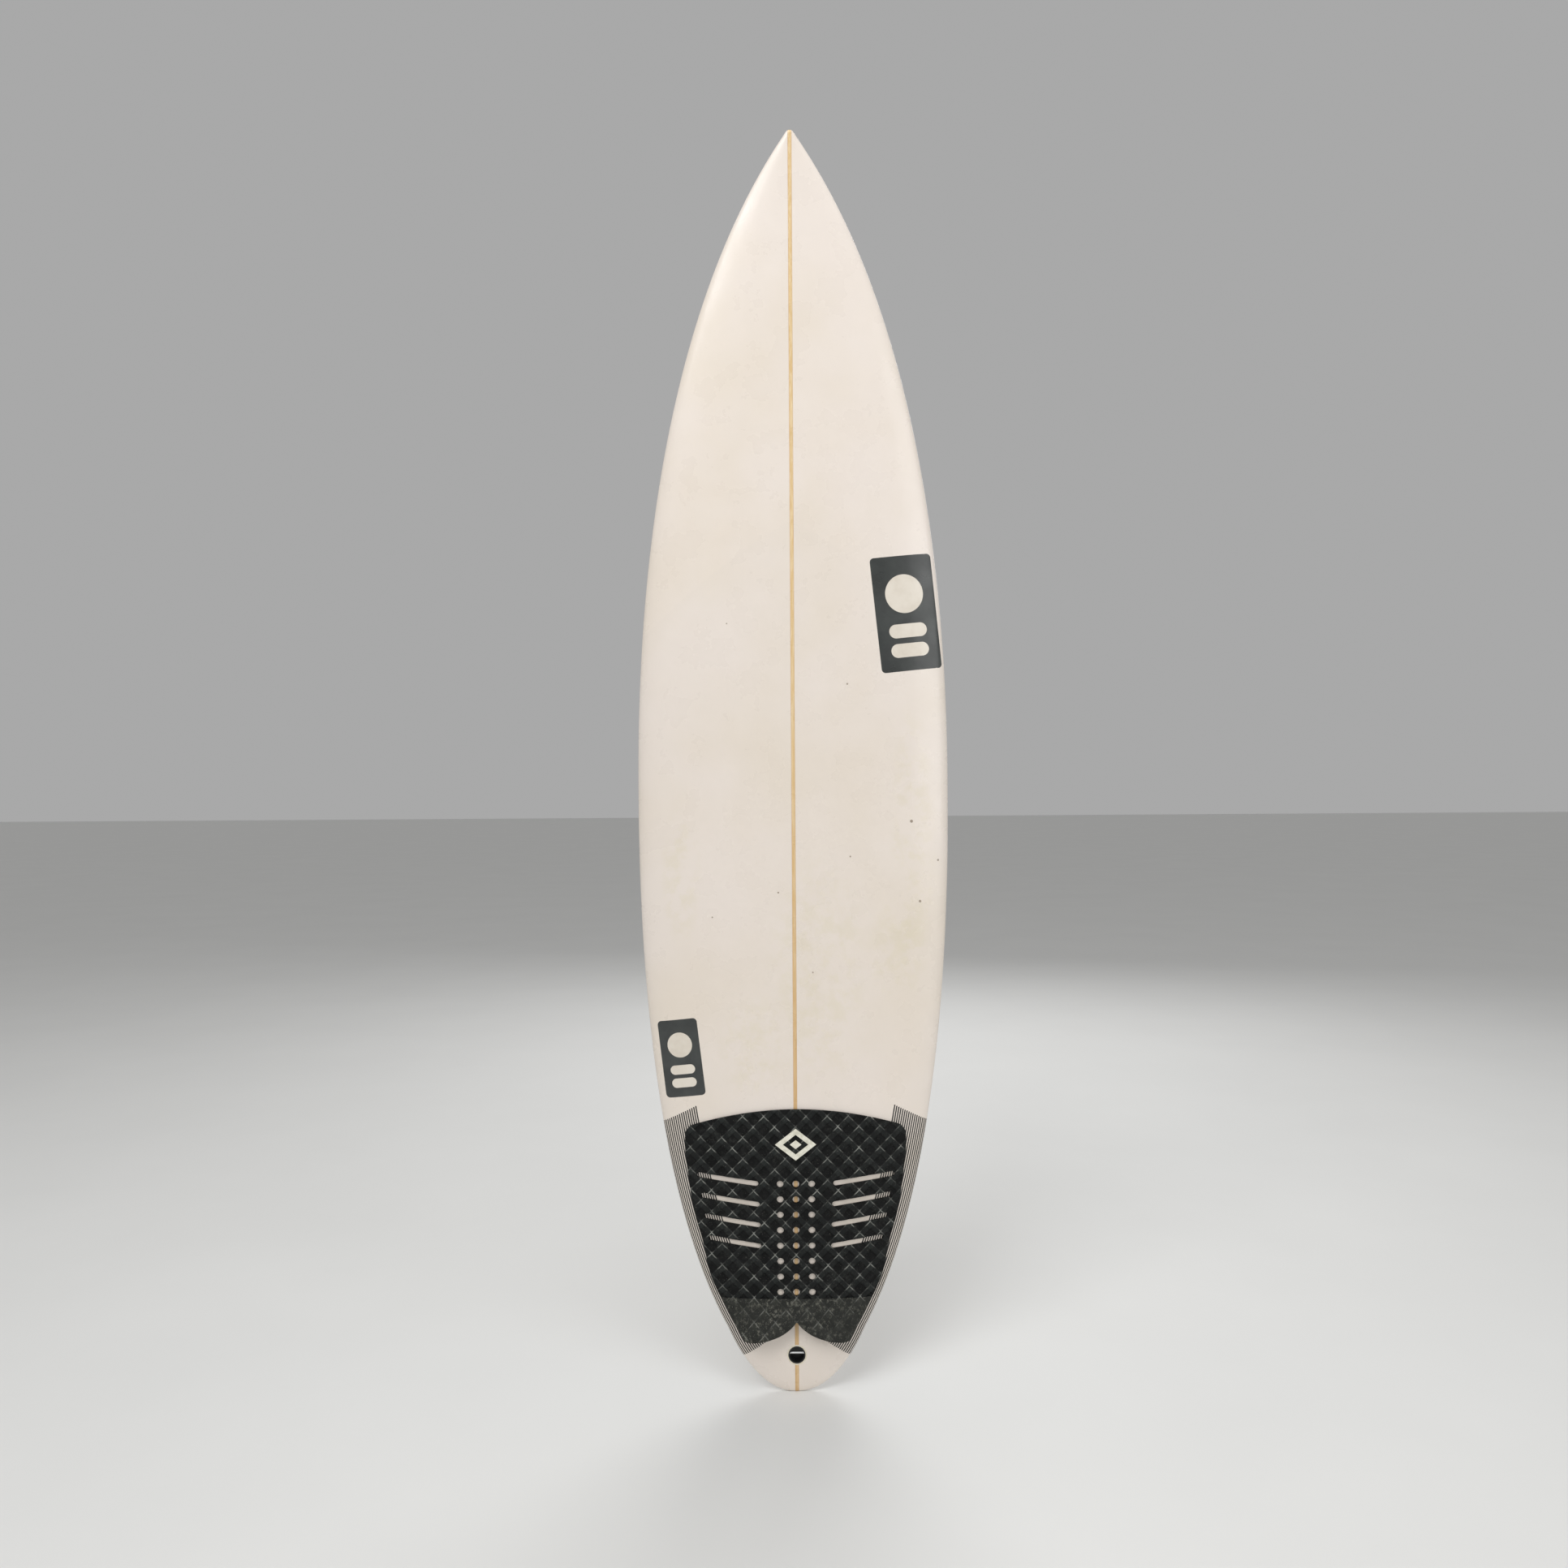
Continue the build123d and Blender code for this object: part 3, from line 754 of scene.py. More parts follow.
@dataclass
class RailTows:
    """Black carbon tows in the glass of each tail rail: ribbons at even distances from the rail's edge."""

    shape: BoardShape
    pitch_mm: float = 3.35
    width_mm: float = 1.95
    deck_tows: int = 18
    wrap_tows: int = 5
    lift_mm: float = 0.05
    depth_mm: float = 0.2
    top_cut: tuple[float, float, float] = (147.0, 413.0, -0.516)
    tail_cut: tuple[float, float, float] = (53.7, 66.7, -0.66)
    reach_z: tuple[float, float] = (40.0, 430.0)
    trial_rows: int = 1200
    least_rows: int = 20
    rows: int = 240
    columns: int = 4
    section_steps: tuple[int, int, int] = (90, 30, 60)
    rail_share: float = 0.18
    crease_deg: float = 60.0

    def build(self, finish: bpy.types.Material) -> None:
        """Make the left and the right group of tows, each one piece of separate closed ribbons.

        Args:
            finish: The tows' material.
        """
        for name, side in (("left", -1.0), ("right", 1.0)):
            points, faces = [], []
            start = 0
            for region, count in ((Region.DECK, self.deck_tows), (Region.BOTTOM, self.wrap_tows)):
                for index in range(count):
                    ribbon = self.ribbon(side, region, (index + 0.5) * self.pitch_mm)
                    if ribbon is None:
                        continue
                    points.append(ribbon[0])
                    faces.append(ribbon[1] + start)
                    start += len(ribbon[0])
            made = make_object("carbon_tows_" + name, np.vstack(points), np.vstack(faces), finish,
                               self.crease_deg)
            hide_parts("carbon_patch_" + name)

    def on_section(self, z: Array, distance: Array, region: Region) -> tuple[Array, Array]:
        """Points at a distance from the rail's apex, measured round the section.

        Each section is sampled, its running length is summed from the apex, and the point is read between
        the two samples that the distance falls between.

        Args:
            z: Heights, one per point.
            distance: Length round the section from the apex, one per point.
            region: Whether to go over the deck or under the bottom.

        Returns:
            X and height of each point.
        """
        x, height = self.shape.half_section(self.shape.at(z), self.section_steps)
        apex = self.section_steps[0]
        if region is Region.DECK:
            x, height = x[:, apex::-1], height[:, apex::-1]
        else:
            x, height = x[:, apex:], height[:, apex:]
        step = np.hypot(np.diff(x, axis=1), np.diff(height, axis=1))
        run = np.hstack([np.zeros((len(z), 1)), np.cumsum(step, axis=1)])
        index = np.clip((run < distance[:, None]).sum(axis=1), 1, run.shape[1] - 1)
        pick = np.arange(len(z))
        low, high = run[pick, index - 1], run[pick, index]
        part = np.clip((distance - low) / np.maximum(high - low, 1e-9), 0, 1)
        return (x[pick, index - 1] + part * (x[pick, index] - x[pick, index - 1]),
                height[pick, index - 1] + part * (height[pick, index] - height[pick, index - 1]))

    def lean(self, z: Array) -> Array:
        """How much longer a step round the section is than its distance from the slanting outline."""
        slope = np.gradient(self.shape.at(z)[:, 1], z)
        return np.sqrt(1 + slope ** 2)

    def away(self, x: Array, height: Array, z: Array, region: Region) -> Array:
        """Directions out of the glass: from the rail's middle near the edge, square to the board elsewhere.

        Args:
            x: Places across.
            height: Heights of the surface there.
            z: Places along.
            region: Deck or bottom.

        Returns:
            Unit vectors, as X and frame Y.
        """
        _, width, _, apex, *_ = self.shape.at(z).T
        out = np.stack([x - (1 - self.rail_share) * width, -(height - apex)], axis=1)
        out /= np.maximum(np.linalg.norm(out, axis=1, keepdims=True), 1e-9)
        flatness = np.clip((width - x) / (self.rail_share * width), 0, 1)[:, None]
        square = np.array([[0.0, -1.0 if region is Region.DECK else 1.0]])
        out = out * (1 - flatness) + square * flatness
        return out / np.maximum(np.linalg.norm(out, axis=1, keepdims=True), 1e-9)

    def ribbon(self, side: float, region: Region, distance: float) -> tuple[Array, Array] | None:
        """One tow: a few points across its width at each of many heights, closed into a thin solid.

        It runs between two slanting cuts. Each is a straight line: a place x, its height and its slope.

        Args:
            side: -1 for the left rail and 1 for the right one.
            region: Deck or bottom.
            distance: How far its middle is from the rail's edge.

        Returns:
            Vertices and faces, or nothing where the cuts leave no room.
        """
        z = np.linspace(*self.reach_z, self.trial_rows)
        x, _ = self.on_section(z, distance * self.lean(z), region)
        top = self.top_cut[1] + self.top_cut[2] * (x - self.top_cut[0])
        tail = self.tail_cut[1] + self.tail_cut[2] * (x - self.tail_cut[0])
        inside = z[(z < top) & (z > tail)]
        if len(inside) < self.least_rows:
            return None
        z = np.linspace(inside[0], inside[-1], self.rows)
        lean = self.lean(z)
        outer, inner = [], []
        for offset in np.linspace(-0.5, 0.5, self.columns) * self.width_mm:
            x, height = self.on_section(z, (distance + offset) * lean, region)
            away = self.away(x, height, z, region)
            base = np.stack([x, self.shape.shift() - height], axis=1)
            for store, lift in ((outer, self.lift_mm), (inner, -self.depth_mm)):
                moved = base + away * lift
                store.append(np.stack([side * moved[:, 0], moved[:, 1], z], axis=1))
        outer_points = np.stack(outer, axis=1).reshape(-1, 3)
        inner_points = np.stack(inner, axis=1).reshape(-1, 3)
        faces = grid_faces(len(z), self.columns)
        turned = (side > 0) == (region is Region.DECK)
        return sheet_between(outer_points, inner_points, faces[:, ::-1] if turned else faces)


# ---------------------------------------------------------------- labels


@dataclass
class Label:
    """A printed tissue under the resin: a dark rounded panel with a plain sun-and-horizon figure.

    The figure's sizes are shares of the panel's width and height.
    """

    shape: BoardShape
    node_name: str
    x: float
    z: float
    width: float
    height: float
    turn: float
    corner: float = 6.0
    lift_mm: float = 0.08
    figure_lift_mm: float = 0.14
    depth_mm: float = 0.2
    rail_gap_mm: float = 2.2
    rings: int = 48
    arc_steps: int = 24
    side_steps: int = 12
    figure_width: float = 0.62
    bar_height: float = 0.12
    sun_up: float = 0.17
    bars_down: tuple[float, float] = (0.15, 0.32)
    crease_deg: float = 45.0

    def build(self, panel_finish: bpy.types.Material, figure_finish: bpy.types.Material) -> None:
        """Make the panel, the disc and the two bars.

        Args:
            panel_finish: Material of the dark panel.
            figure_finish: Material of the pale figure.
        """
        panel = self.patch("_panel", 0, 0, self.width, self.height, self.corner, self.lift_mm, panel_finish)
        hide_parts(self.node_name)
        bar = self.bar_height * self.height
        across = self.figure_width * self.width
        upper, lower = self.bars_down
        parts = [("_sun", 0.0, self.sun_up * self.height, across, across, across / 2),
                 ("_bar_upper", 0.0, -upper * self.height, across, bar, bar / 2),
                 ("_bar_lower", 0.0, -lower * self.height, across, bar, bar / 2)]
        for suffix, u, v, width, height, corner in parts:
            made = self.patch(suffix, u, v, width, height, corner, self.figure_lift_mm, figure_finish)

    def patch(self, suffix: str, u: float, v: float, width: float, height: float, corner: float,
              lift: float, finish: bpy.types.Material) -> bpy.types.Object:
        """One rounded shape laid on the deck: rings that grow from its middle to a rounded rectangle.

        Args:
            suffix: Ending of the piece's name.
            u: Middle of the shape, across the label.
            v: Middle of the shape, up the label.
            width: Its width.
            height: Its height.
            corner: Radius of its corners.
            lift: How far its face stands off the deck's surface.
            finish: Its material.

        Returns:
            The new piece.
        """
        edge = rounded_rectangle(width, height, corner, self.arc_steps, self.side_steps)
        shares = np.linspace(0, 1, self.rings + 1)[1:, None, None]
        local = np.vstack([[[0.0, 0.0]], (shares * edge[None]).reshape(-1, 2)]) + [u, v]
        angle = math.radians(self.turn)
        spin = np.array([[math.cos(angle), -math.sin(angle)], [math.sin(angle), math.cos(angle)]])
        flat = local @ spin.T + [self.x, self.z]
        limit = self.shape.at(flat[:, 1])[:, 1] - self.rail_gap_mm
        flat[:, 0] = np.clip(flat[:, 0], -limit, limit)
        y = self.shape.shift() - self.shape.deck(flat[:, 0], flat[:, 1])
        base = np.stack([flat[:, 0], y, flat[:, 1]], axis=1)
        normal = self.shape.deck_normal(flat[:, 0], flat[:, 1])
        top, under = base + lift * normal, base - self.depth_mm * normal
        spokes, count = len(edge), len(top)
        fan, quads = disc_faces(self.rings, spokes)
        rim = 1 + (self.rings - 1) * spokes + np.arange(spokes)
        after = np.roll(rim, -1)
        walls = np.stack([after, rim, rim + count, after + count], axis=1)
        faces = []
        for group in (fan[:, ::-1], quads[:, ::-1], fan + count, quads + count, walls):
            faces += group.tolist()
        points = np.vstack([top, under])
        made = make_object(self.node_name + suffix, points, faces, finish, self.crease_deg)
        face_outwards(made)
        return made


def drop_slivers(piece: bpy.types.Object) -> None:
    """Close up faces that have no area, which cuts and moved grid points can leave.

    Args:
        piece: The piece, changed in place.
    """
    work = bmesh.new()
    work.from_mesh(piece.data)
    bmesh.ops.dissolve_degenerate(work, dist=SLIVER_M, edges=work.edges)
    work.to_mesh(piece.data)
    work.free()


def face_outwards(piece: bpy.types.Object) -> None:
    """Turn every face of a closed piece outwards.

    Args:
        piece: The piece, changed in place.
    """
    work = bmesh.new()
    work.from_mesh(piece.data)
    bmesh.ops.recalc_face_normals(work, faces=work.faces)
    work.to_mesh(piece.data)
    work.free()


def rounded_rectangle(width: float, height: float, radius: float, arc_steps: int, side_steps: int) -> Array:
    """Outline of a rounded rectangle about its middle: four arcs joined by straight sides, anticlockwise.

    Args:
        width: Size across.
        height: Size along.
        radius: Radius of the corners.
        arc_steps: Steps in each corner.
        side_steps: Steps in each side that is long enough to have some.

    Returns:
        Points in order, each place once.
    """
    made = []
    for quarter, (sx, sz) in enumerate(((1, 1), (-1, 1), (-1, -1), (1, -1))):
        angle = np.linspace(0, math.pi / 2, arc_steps + 1) + quarter * math.pi / 2
        centre = np.array([sx * (width / 2 - radius), sz * (height / 2 - radius)])
        made.append(centre + radius * np.stack([np.cos(angle), np.sin(angle)], axis=1))
    joined = []
    for index, arc in enumerate(made):
        joined.append(arc)
        start, end = arc[-1], made[(index + 1) % 4][0]
        share = np.linspace(0, 1, side_steps + 1)[1:-1, None]
        if np.linalg.norm(end - start) > 0.5:
            joined.append(start + share * (end - start))
    outline = np.vstack(joined)
    apart = np.linalg.norm(outline - np.roll(outline, 1, axis=0), axis=1) > 1e-4
    return outline[apart]


# ---------------------------------------------------------------- traction pad


@dataclass(frozen=True)
class PadLattice:
    """The pad's diagonal lattice: ribs of one width at one pitch, and a square wherever two of them cross."""

    rib_mm: float = 8.0
    pitch_mm: float = 21.8
    square_at_mm: tuple[float, float] = (15.4, 395.5)


@dataclass
class TractionPad:
    """Moulded EVA pad: a lattice of raised ribs and squares, drain holes and slots, and a worn kick.

    Places are X and Z in millimetres on the pad's right half.
    """

    shape: BoardShape
    lattice: PadLattice = PadLattice()
    thickness: float = 5.0
    rib_drop: float = 0.8
    pocket_drop: float = 2.3
    soft_edge: float = 1.3
    side_places: tuple[tuple[float, float], ...] = (
        (75.5, 83.0), (92.5, 107.0), (110.0, 135.0), (126.0, 170.0), (136.0, 215.0), (148.5, 258.0),
        (158.0, 317.0), (162.0, 362.0), (160.6, 377.0), (154.0, 384.5), (148.0, 387.0))
    heel_places: tuple[tuple[float, float], ...] = (
        (0.0, 107.0), (8.0, 99.5), (20.0, 92.0), (36.0, 86.0), (52.0, 82.5), (68.0, 81.6), (75.5, 83.0))
    top_z: float = 410.0
    top_radius: float = 520.0
    top_power: float = 1.5
    sheet_grid: tuple[int, int] = (301, 321)
    outline_reach: float = 1.25
    sheet_gap: float = 0.03
    rim_rows: float = 3.0
    hole_rim: float = 1.4
    rim_drop: float = 1.0
    rim_cover: float = 0.6
    kick_start: float = 137.0
    kick_slope: float = math.tan(math.radians(21.0))
    kick_half: float = 110.8
    kick_grid: tuple[int, int] = (221, 81)
    kick_span: tuple[float, float] = (200.0, 50.0)
    kick_shares: tuple[float, float] = (0.72, 0.28)
    kick_full_run: float = 50.0
    kick_seat: float = 0.6
    kick_rim: tuple[float, float] = (2.6, 3.2)
    groove: tuple[float, float] = (0.45, 4.0)
    least_rise: float = 0.02
    under_kick_fade: float = 2.0
    under_kick_drop: float = 0.3
    hole_radius: float = 5.0
    hole_columns: tuple[float, float, float] = (-23.0, 0.0, 23.0)
    hole_rows: int = 8
    hole_top: float = 302.0
    hole_pitch: float = 22.3
    mark_z: float = 360.0
    mark_half: tuple[float, float] = (30.0, 23.0)
    mark_edge: tuple[float, float] = (1.12, 0.08)
    slot_radius: float = 3.9
    slots: tuple[tuple[float, float, float, float], ...] = (
        (58.3, 302.6, 140.5, 313.7), (56.5, 272.6, 135.0, 284.0),
        (55.5, 242.8, 130.1, 254.0), (54.6, 212.5, 123.9, 222.6))
    crease_deg: float = 50.0

    def build(self, sheet_finish: bpy.types.Material, kick_finish: bpy.types.Material) -> None:
        """Make the sheet and the kick, and hide the CAD pad nodes that they stand for.

        Args:
            sheet_finish: Material of the sheet.
            kick_finish: Material of the kick.
        """
        sheet = self.sheet(sheet_finish)
        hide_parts("traction_pad", "pad_adhesive")
        kick = self.kick(kick_finish)
        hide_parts("pad_kick")

    def side_curve(self, v: Array) -> Array:
        """The pad's right side from heel (v 0) to shoulder (v 1): a smooth line through a few places."""
        return smooth_line(np.array(self.side_places), v)

    def top_curve(self, u: Array) -> Array:
        """The arched top edge from left shoulder (u -1) to right one: an arc, bent down to the shoulders.

        Args:
            u: Shares of the half width, with their side's sign.

        Returns:
            X and Z of each point.
        """
        half, shoulder = self.side_places[-1]
        x = half * u
        sag = self.top_radius - np.sqrt(self.top_radius ** 2 - x ** 2)
        rise = (self.top_z - shoulder) - (self.top_radius - math.sqrt(self.top_radius ** 2 - half ** 2))
        return np.stack([x, self.top_z - sag - rise * np.abs(u) ** self.top_power], axis=-1)

    def heel_curve(self, u: Array) -> Array:
        """The notched heel from left (u -1) to right: flat tips, then two curves that meet in a point."""
        right = smooth_line(np.array(self.heel_places), np.abs(u))
        return np.stack([right[..., 0] * np.sign(u), right[..., 1]], axis=-1)

    def patch(self, columns: int, rows: int) -> Array:
        """Grid over the pad's outline: the four edge curves blended by the Coons formula.

        Args:
            columns: Points across.
            rows: Points along.

        Returns:
            X and Z of each point, row by row.
        """
        u = np.linspace(-1, 1, columns)[None, :]
        v = np.linspace(0, 1, rows)[:, None]
        right = self.side_curve(v[:, 0])[:, None, :]
        left = right * [-1, 1]
        heel = self.heel_curve(u[0])[None]
        top = self.top_curve(u[0])[None]
        part = (u[..., None] + 1) / 2
        rise = v[..., None]
        corners = ((1 - part) * (1 - rise) * heel[:, :1] + part * (1 - rise) * heel[:, -1:]
                   + (1 - part) * rise * top[:, :1] + part * rise * top[:, -1:])
        return (1 - rise) * heel + rise * top + (1 - part) * left + part * right - corners

    def relief(self, x: Array, z: Array) -> tuple[Array, Array]:
        """Drop below the pad's full thickness, and how high on the pattern each point is.

        Distances to two families of diagonal lines give the ribs; where both are near, the square stands
        at full height, one near gives a rib, and neither gives a pocket.

        Args:
            x: Places across.
            z: Places along.

        Returns:
            The drop in millimetres, and 0 in a pocket to 1 on a square.
        """
        root, pitch = math.sqrt(2), self.lattice.pitch_mm
        x0, z0 = self.lattice.square_at_mm
        near = []
        for value, origin in (((x + z) / root, (x0 + z0) / root), ((x - z) / root, (x0 - z0) / root)):
            off = np.abs((value - origin + pitch / 2) % pitch - pitch / 2)
            near.append(smooth_step((self.lattice.rib_mm / 2 + self.soft_edge / 2 - off) / self.soft_edge))
        square = near[0] * near[1]
        rib = np.maximum(near[0], near[1]) - square
        level = square + 0.5 * rib
        drop = self.pocket_drop * (1 - square - rib) + self.rib_drop * rib
        return drop, level

    def plateau(self, flat: Array) -> Array:
        """One on the flat lozenge that carries the raised mark, falling to 0 just outside it.

        Args:
            flat: Points in X and Z.

        Returns:
            One value to a point.
        """
        half_x, half_z = self.mark_half
        edge, fade = self.mark_edge
        reach = np.abs(flat[:, 0]) / half_x + np.abs(flat[:, 1] - self.mark_z) / half_z
        return smooth_step((edge - reach) / fade)

    def openings(self) -> list[Distance]:
        """Signed distances of the 24 round holes and the eight slanted slots.

        Returns:
            One function of points for each opening, negative inside it.
        """
        made = []
        for row in range(self.hole_rows):
            for column in self.hole_columns:
                place = np.array([column, self.hole_top - self.hole_pitch * row])
                made.append(round_hole(place, self.hole_radius))
        for x1, z1, x2, z2 in self.slots:
            for side in (-1, 1):
                ends = np.array([side * x1, z1]), np.array([side * x2, z2])
                made.append(slot_hole(*ends, self.slot_radius))
        return made

    def sheet(self, finish: bpy.types.Material) -> bpy.types.Object:
        """The flat part of the pad, edge rounded over, with every opening cut through.

        Args:
            finish: The piece's material.

        Returns:
            The sheet.
        """
        grid = self.patch(*self.sheet_grid)
        rows, columns = grid.shape[:2]
        inwards = np.minimum(steps_from_ends(rows)[:, None], steps_from_ends(columns)[None, :])
        inwards = inwards.ravel().astype(float)
        openings = self.openings()
        faces = grid_faces(rows, columns)
        flat, faces = cut_openings(grid.reshape(-1, 2), faces, openings, self.outline_reach)
        drop, _ = self.relief(flat[:, 0], flat[:, 1])
        under_kick = smooth_step((self.kick_start - flat[:, 1]) / self.under_kick_fade)
        drop = drop * (1 - under_kick) + self.under_kick_drop * under_kick
        drop = drop * (1 - self.plateau(flat))
        hole = np.min([opening(flat) for opening in openings], axis=0)
        border = smooth_step(1 - np.minimum(inwards / self.rim_rows, np.maximum(hole, 0) / self.hole_rim))
        drop = drop * (1 - self.rim_cover * border) + self.rim_drop * border
        y = self.shape.shift() - self.shape.deck(flat[:, 0], flat[:, 1])
        top = np.stack([flat[:, 0], y - self.thickness + drop, flat[:, 1]], axis=1)
        under = np.stack([flat[:, 0], y - self.sheet_gap, flat[:, 1]], axis=1)
        return self.foam_piece("traction_pad_sheet", top, under, faces, finish)

    def kick(self, finish: bpy.types.Material) -> bpy.types.Object:
        """The raised heel: a ramp that starts at a straight crease, grooved, with a rounded rim.

        The ramp's height is its run times its slope. The grid lies between the heel and the crease, and
        its columns bend out to the pad's side by the cube of their share of the half width.

        Args:
            finish: The piece's material.

        Returns:
            The kick.
        """
        columns, rows = self.kick_grid
        u = np.linspace(-1, 1, columns)
        v = np.linspace(0, 1, rows)[:, None, None]
        heel = self.heel_curve(u)
        crease = np.stack([u * self.kick_half, np.full_like(u, self.kick_start)], axis=-1)
        side_places = np.array([*self.side_places[:2], (self.kick_half, self.kick_start)])
        side = smooth_line(side_places, v[:, 0, 0])
        grid = heel[None] * (1 - v) + crease[None] * v
        fix = side[:, 0] - grid[:, -1, 0]
        grid[..., 0] += fix[:, None] * u[None, :] ** 3
        flat = grid.reshape(-1, 2)
        run = np.maximum(self.kick_start - flat[:, 1], 0)
        low_share, more_share = self.kick_shares
        rise = run * self.kick_slope * (low_share + more_share * np.minimum(run / self.kick_full_run, 1.0))
        edge_u = steps_from_ends(columns)[None, :] * self.kick_span[0] / columns
        edge_v = np.arange(rows)[:, None] * self.kick_span[1] / rows
        rim = np.minimum(edge_u, edge_v).ravel()
        rim_fall, rim_reach = self.kick_rim
        rounding = rim_fall * (1 - np.sqrt(np.clip(1 - (1 - np.clip(rim / rim_reach, 0, 1)) ** 2, 0, 1)))
        _, level = self.relief(flat[:, 0], flat[:, 1])
        groove_depth, groove_from = self.groove
        grooves = groove_depth * (1 - level) * np.clip(rise / groove_from, 0, 1)
        height = np.maximum(rise - rounding - grooves, self.least_rise)
        y = self.shape.shift() - self.shape.deck(flat[:, 0], flat[:, 1]) - self.thickness
        top = np.stack([flat[:, 0], y - height, flat[:, 1]], axis=1)
        under = np.stack([flat[:, 0], y + self.kick_seat, flat[:, 1]], axis=1)
        return self.foam_piece("traction_pad_kick", top, under, grid_faces(rows, columns), finish)

    def foam_piece(self, name: str, top: Array, under: Array, faces: Array,
                   finish: bpy.types.Material) -> bpy.types.Object:
        """Close a piece of the pad, and keep how high on the moulded pattern each vertex is.

        Args:
            name: The piece's name.
            top: Vertices of its face.
            under: The same vertices on its underside.
            faces: Quads of its face.
            finish: Its material, which reads the level for its colour.

        Returns:
            The new piece.
        """
        points, closed = sheet_between(top, under, faces)
        made = make_object(name, points, closed, finish, self.crease_deg)
        _, level = self.relief(points[:, 0], points[:, 2])
        attribute = made.data.attributes.new("level", "FLOAT", "POINT")
        attribute.data.foreach_set("value", level.astype(np.float32))
        return made


def steps_from_ends(count: int) -> Array:
    """How many steps each of a row of grid lines is from the nearer end of the row."""
    numbers = np.arange(count)
    return np.minimum(numbers, numbers[::-1])


def smooth_step(value: Array) -> Array:
    """Zero below 0, one above 1 and an S-shaped cubic between."""
    value = np.clip(value, 0, 1)
    return value * value * (3 - 2 * value)


def smooth_line(places: Array, share: Array) -> Array:
    """Cubic Hermite curve through a few places, its slopes taken from their neighbours.

    Args:
        places: The places, one to a row.
        share: Shares of the whole chord length at which it is read.

    Returns:
        One point for each share.
    """
    chord = np.concatenate([[0], np.cumsum(np.linalg.norm(np.diff(places, axis=0), axis=1))])
    chord /= chord[-1]
    slopes = np.gradient(places, chord, axis=0)
    index = np.clip(np.searchsorted(chord, share, side="right") - 1, 0, len(places) - 2)
    gap = (chord[index + 1] - chord[index])[..., None]
    t = ((share - chord[index])[..., None]) / gap
    return ((2 * t ** 3 - 3 * t ** 2 + 1) * places[index] + (t ** 3 - 2 * t ** 2 + t) * gap * slopes[index]
            + (3 * t ** 2 - 2 * t ** 3) * places[index + 1] + (t ** 3 - t ** 2) * gap * slopes[index + 1])


def round_hole(centre: Array, radius: float) -> Distance:
    """Signed distance to a circle."""
    return lambda points: np.linalg.norm(points - centre, axis=1) - radius


def slot_hole(start: Array, end: Array, radius: float) -> Distance:
    """Signed distance to a slot with round ends.

    Args:
        start: Middle of one end's arc.
        end: Middle of the other's.
        radius: Half the slot's width.

    Returns:
        The distance as a function of points, negative inside.
    """
    run = end - start

    def distance(points: Array) -> Array:
        """Distance from each point, negative inside."""
        share = np.clip((points - start) @ run / (run @ run), 0, 1)
        return np.linalg.norm(points - start - share[:, None] * run, axis=1) - radius

    return distance


# ---------------------------------------------------------------- finishes


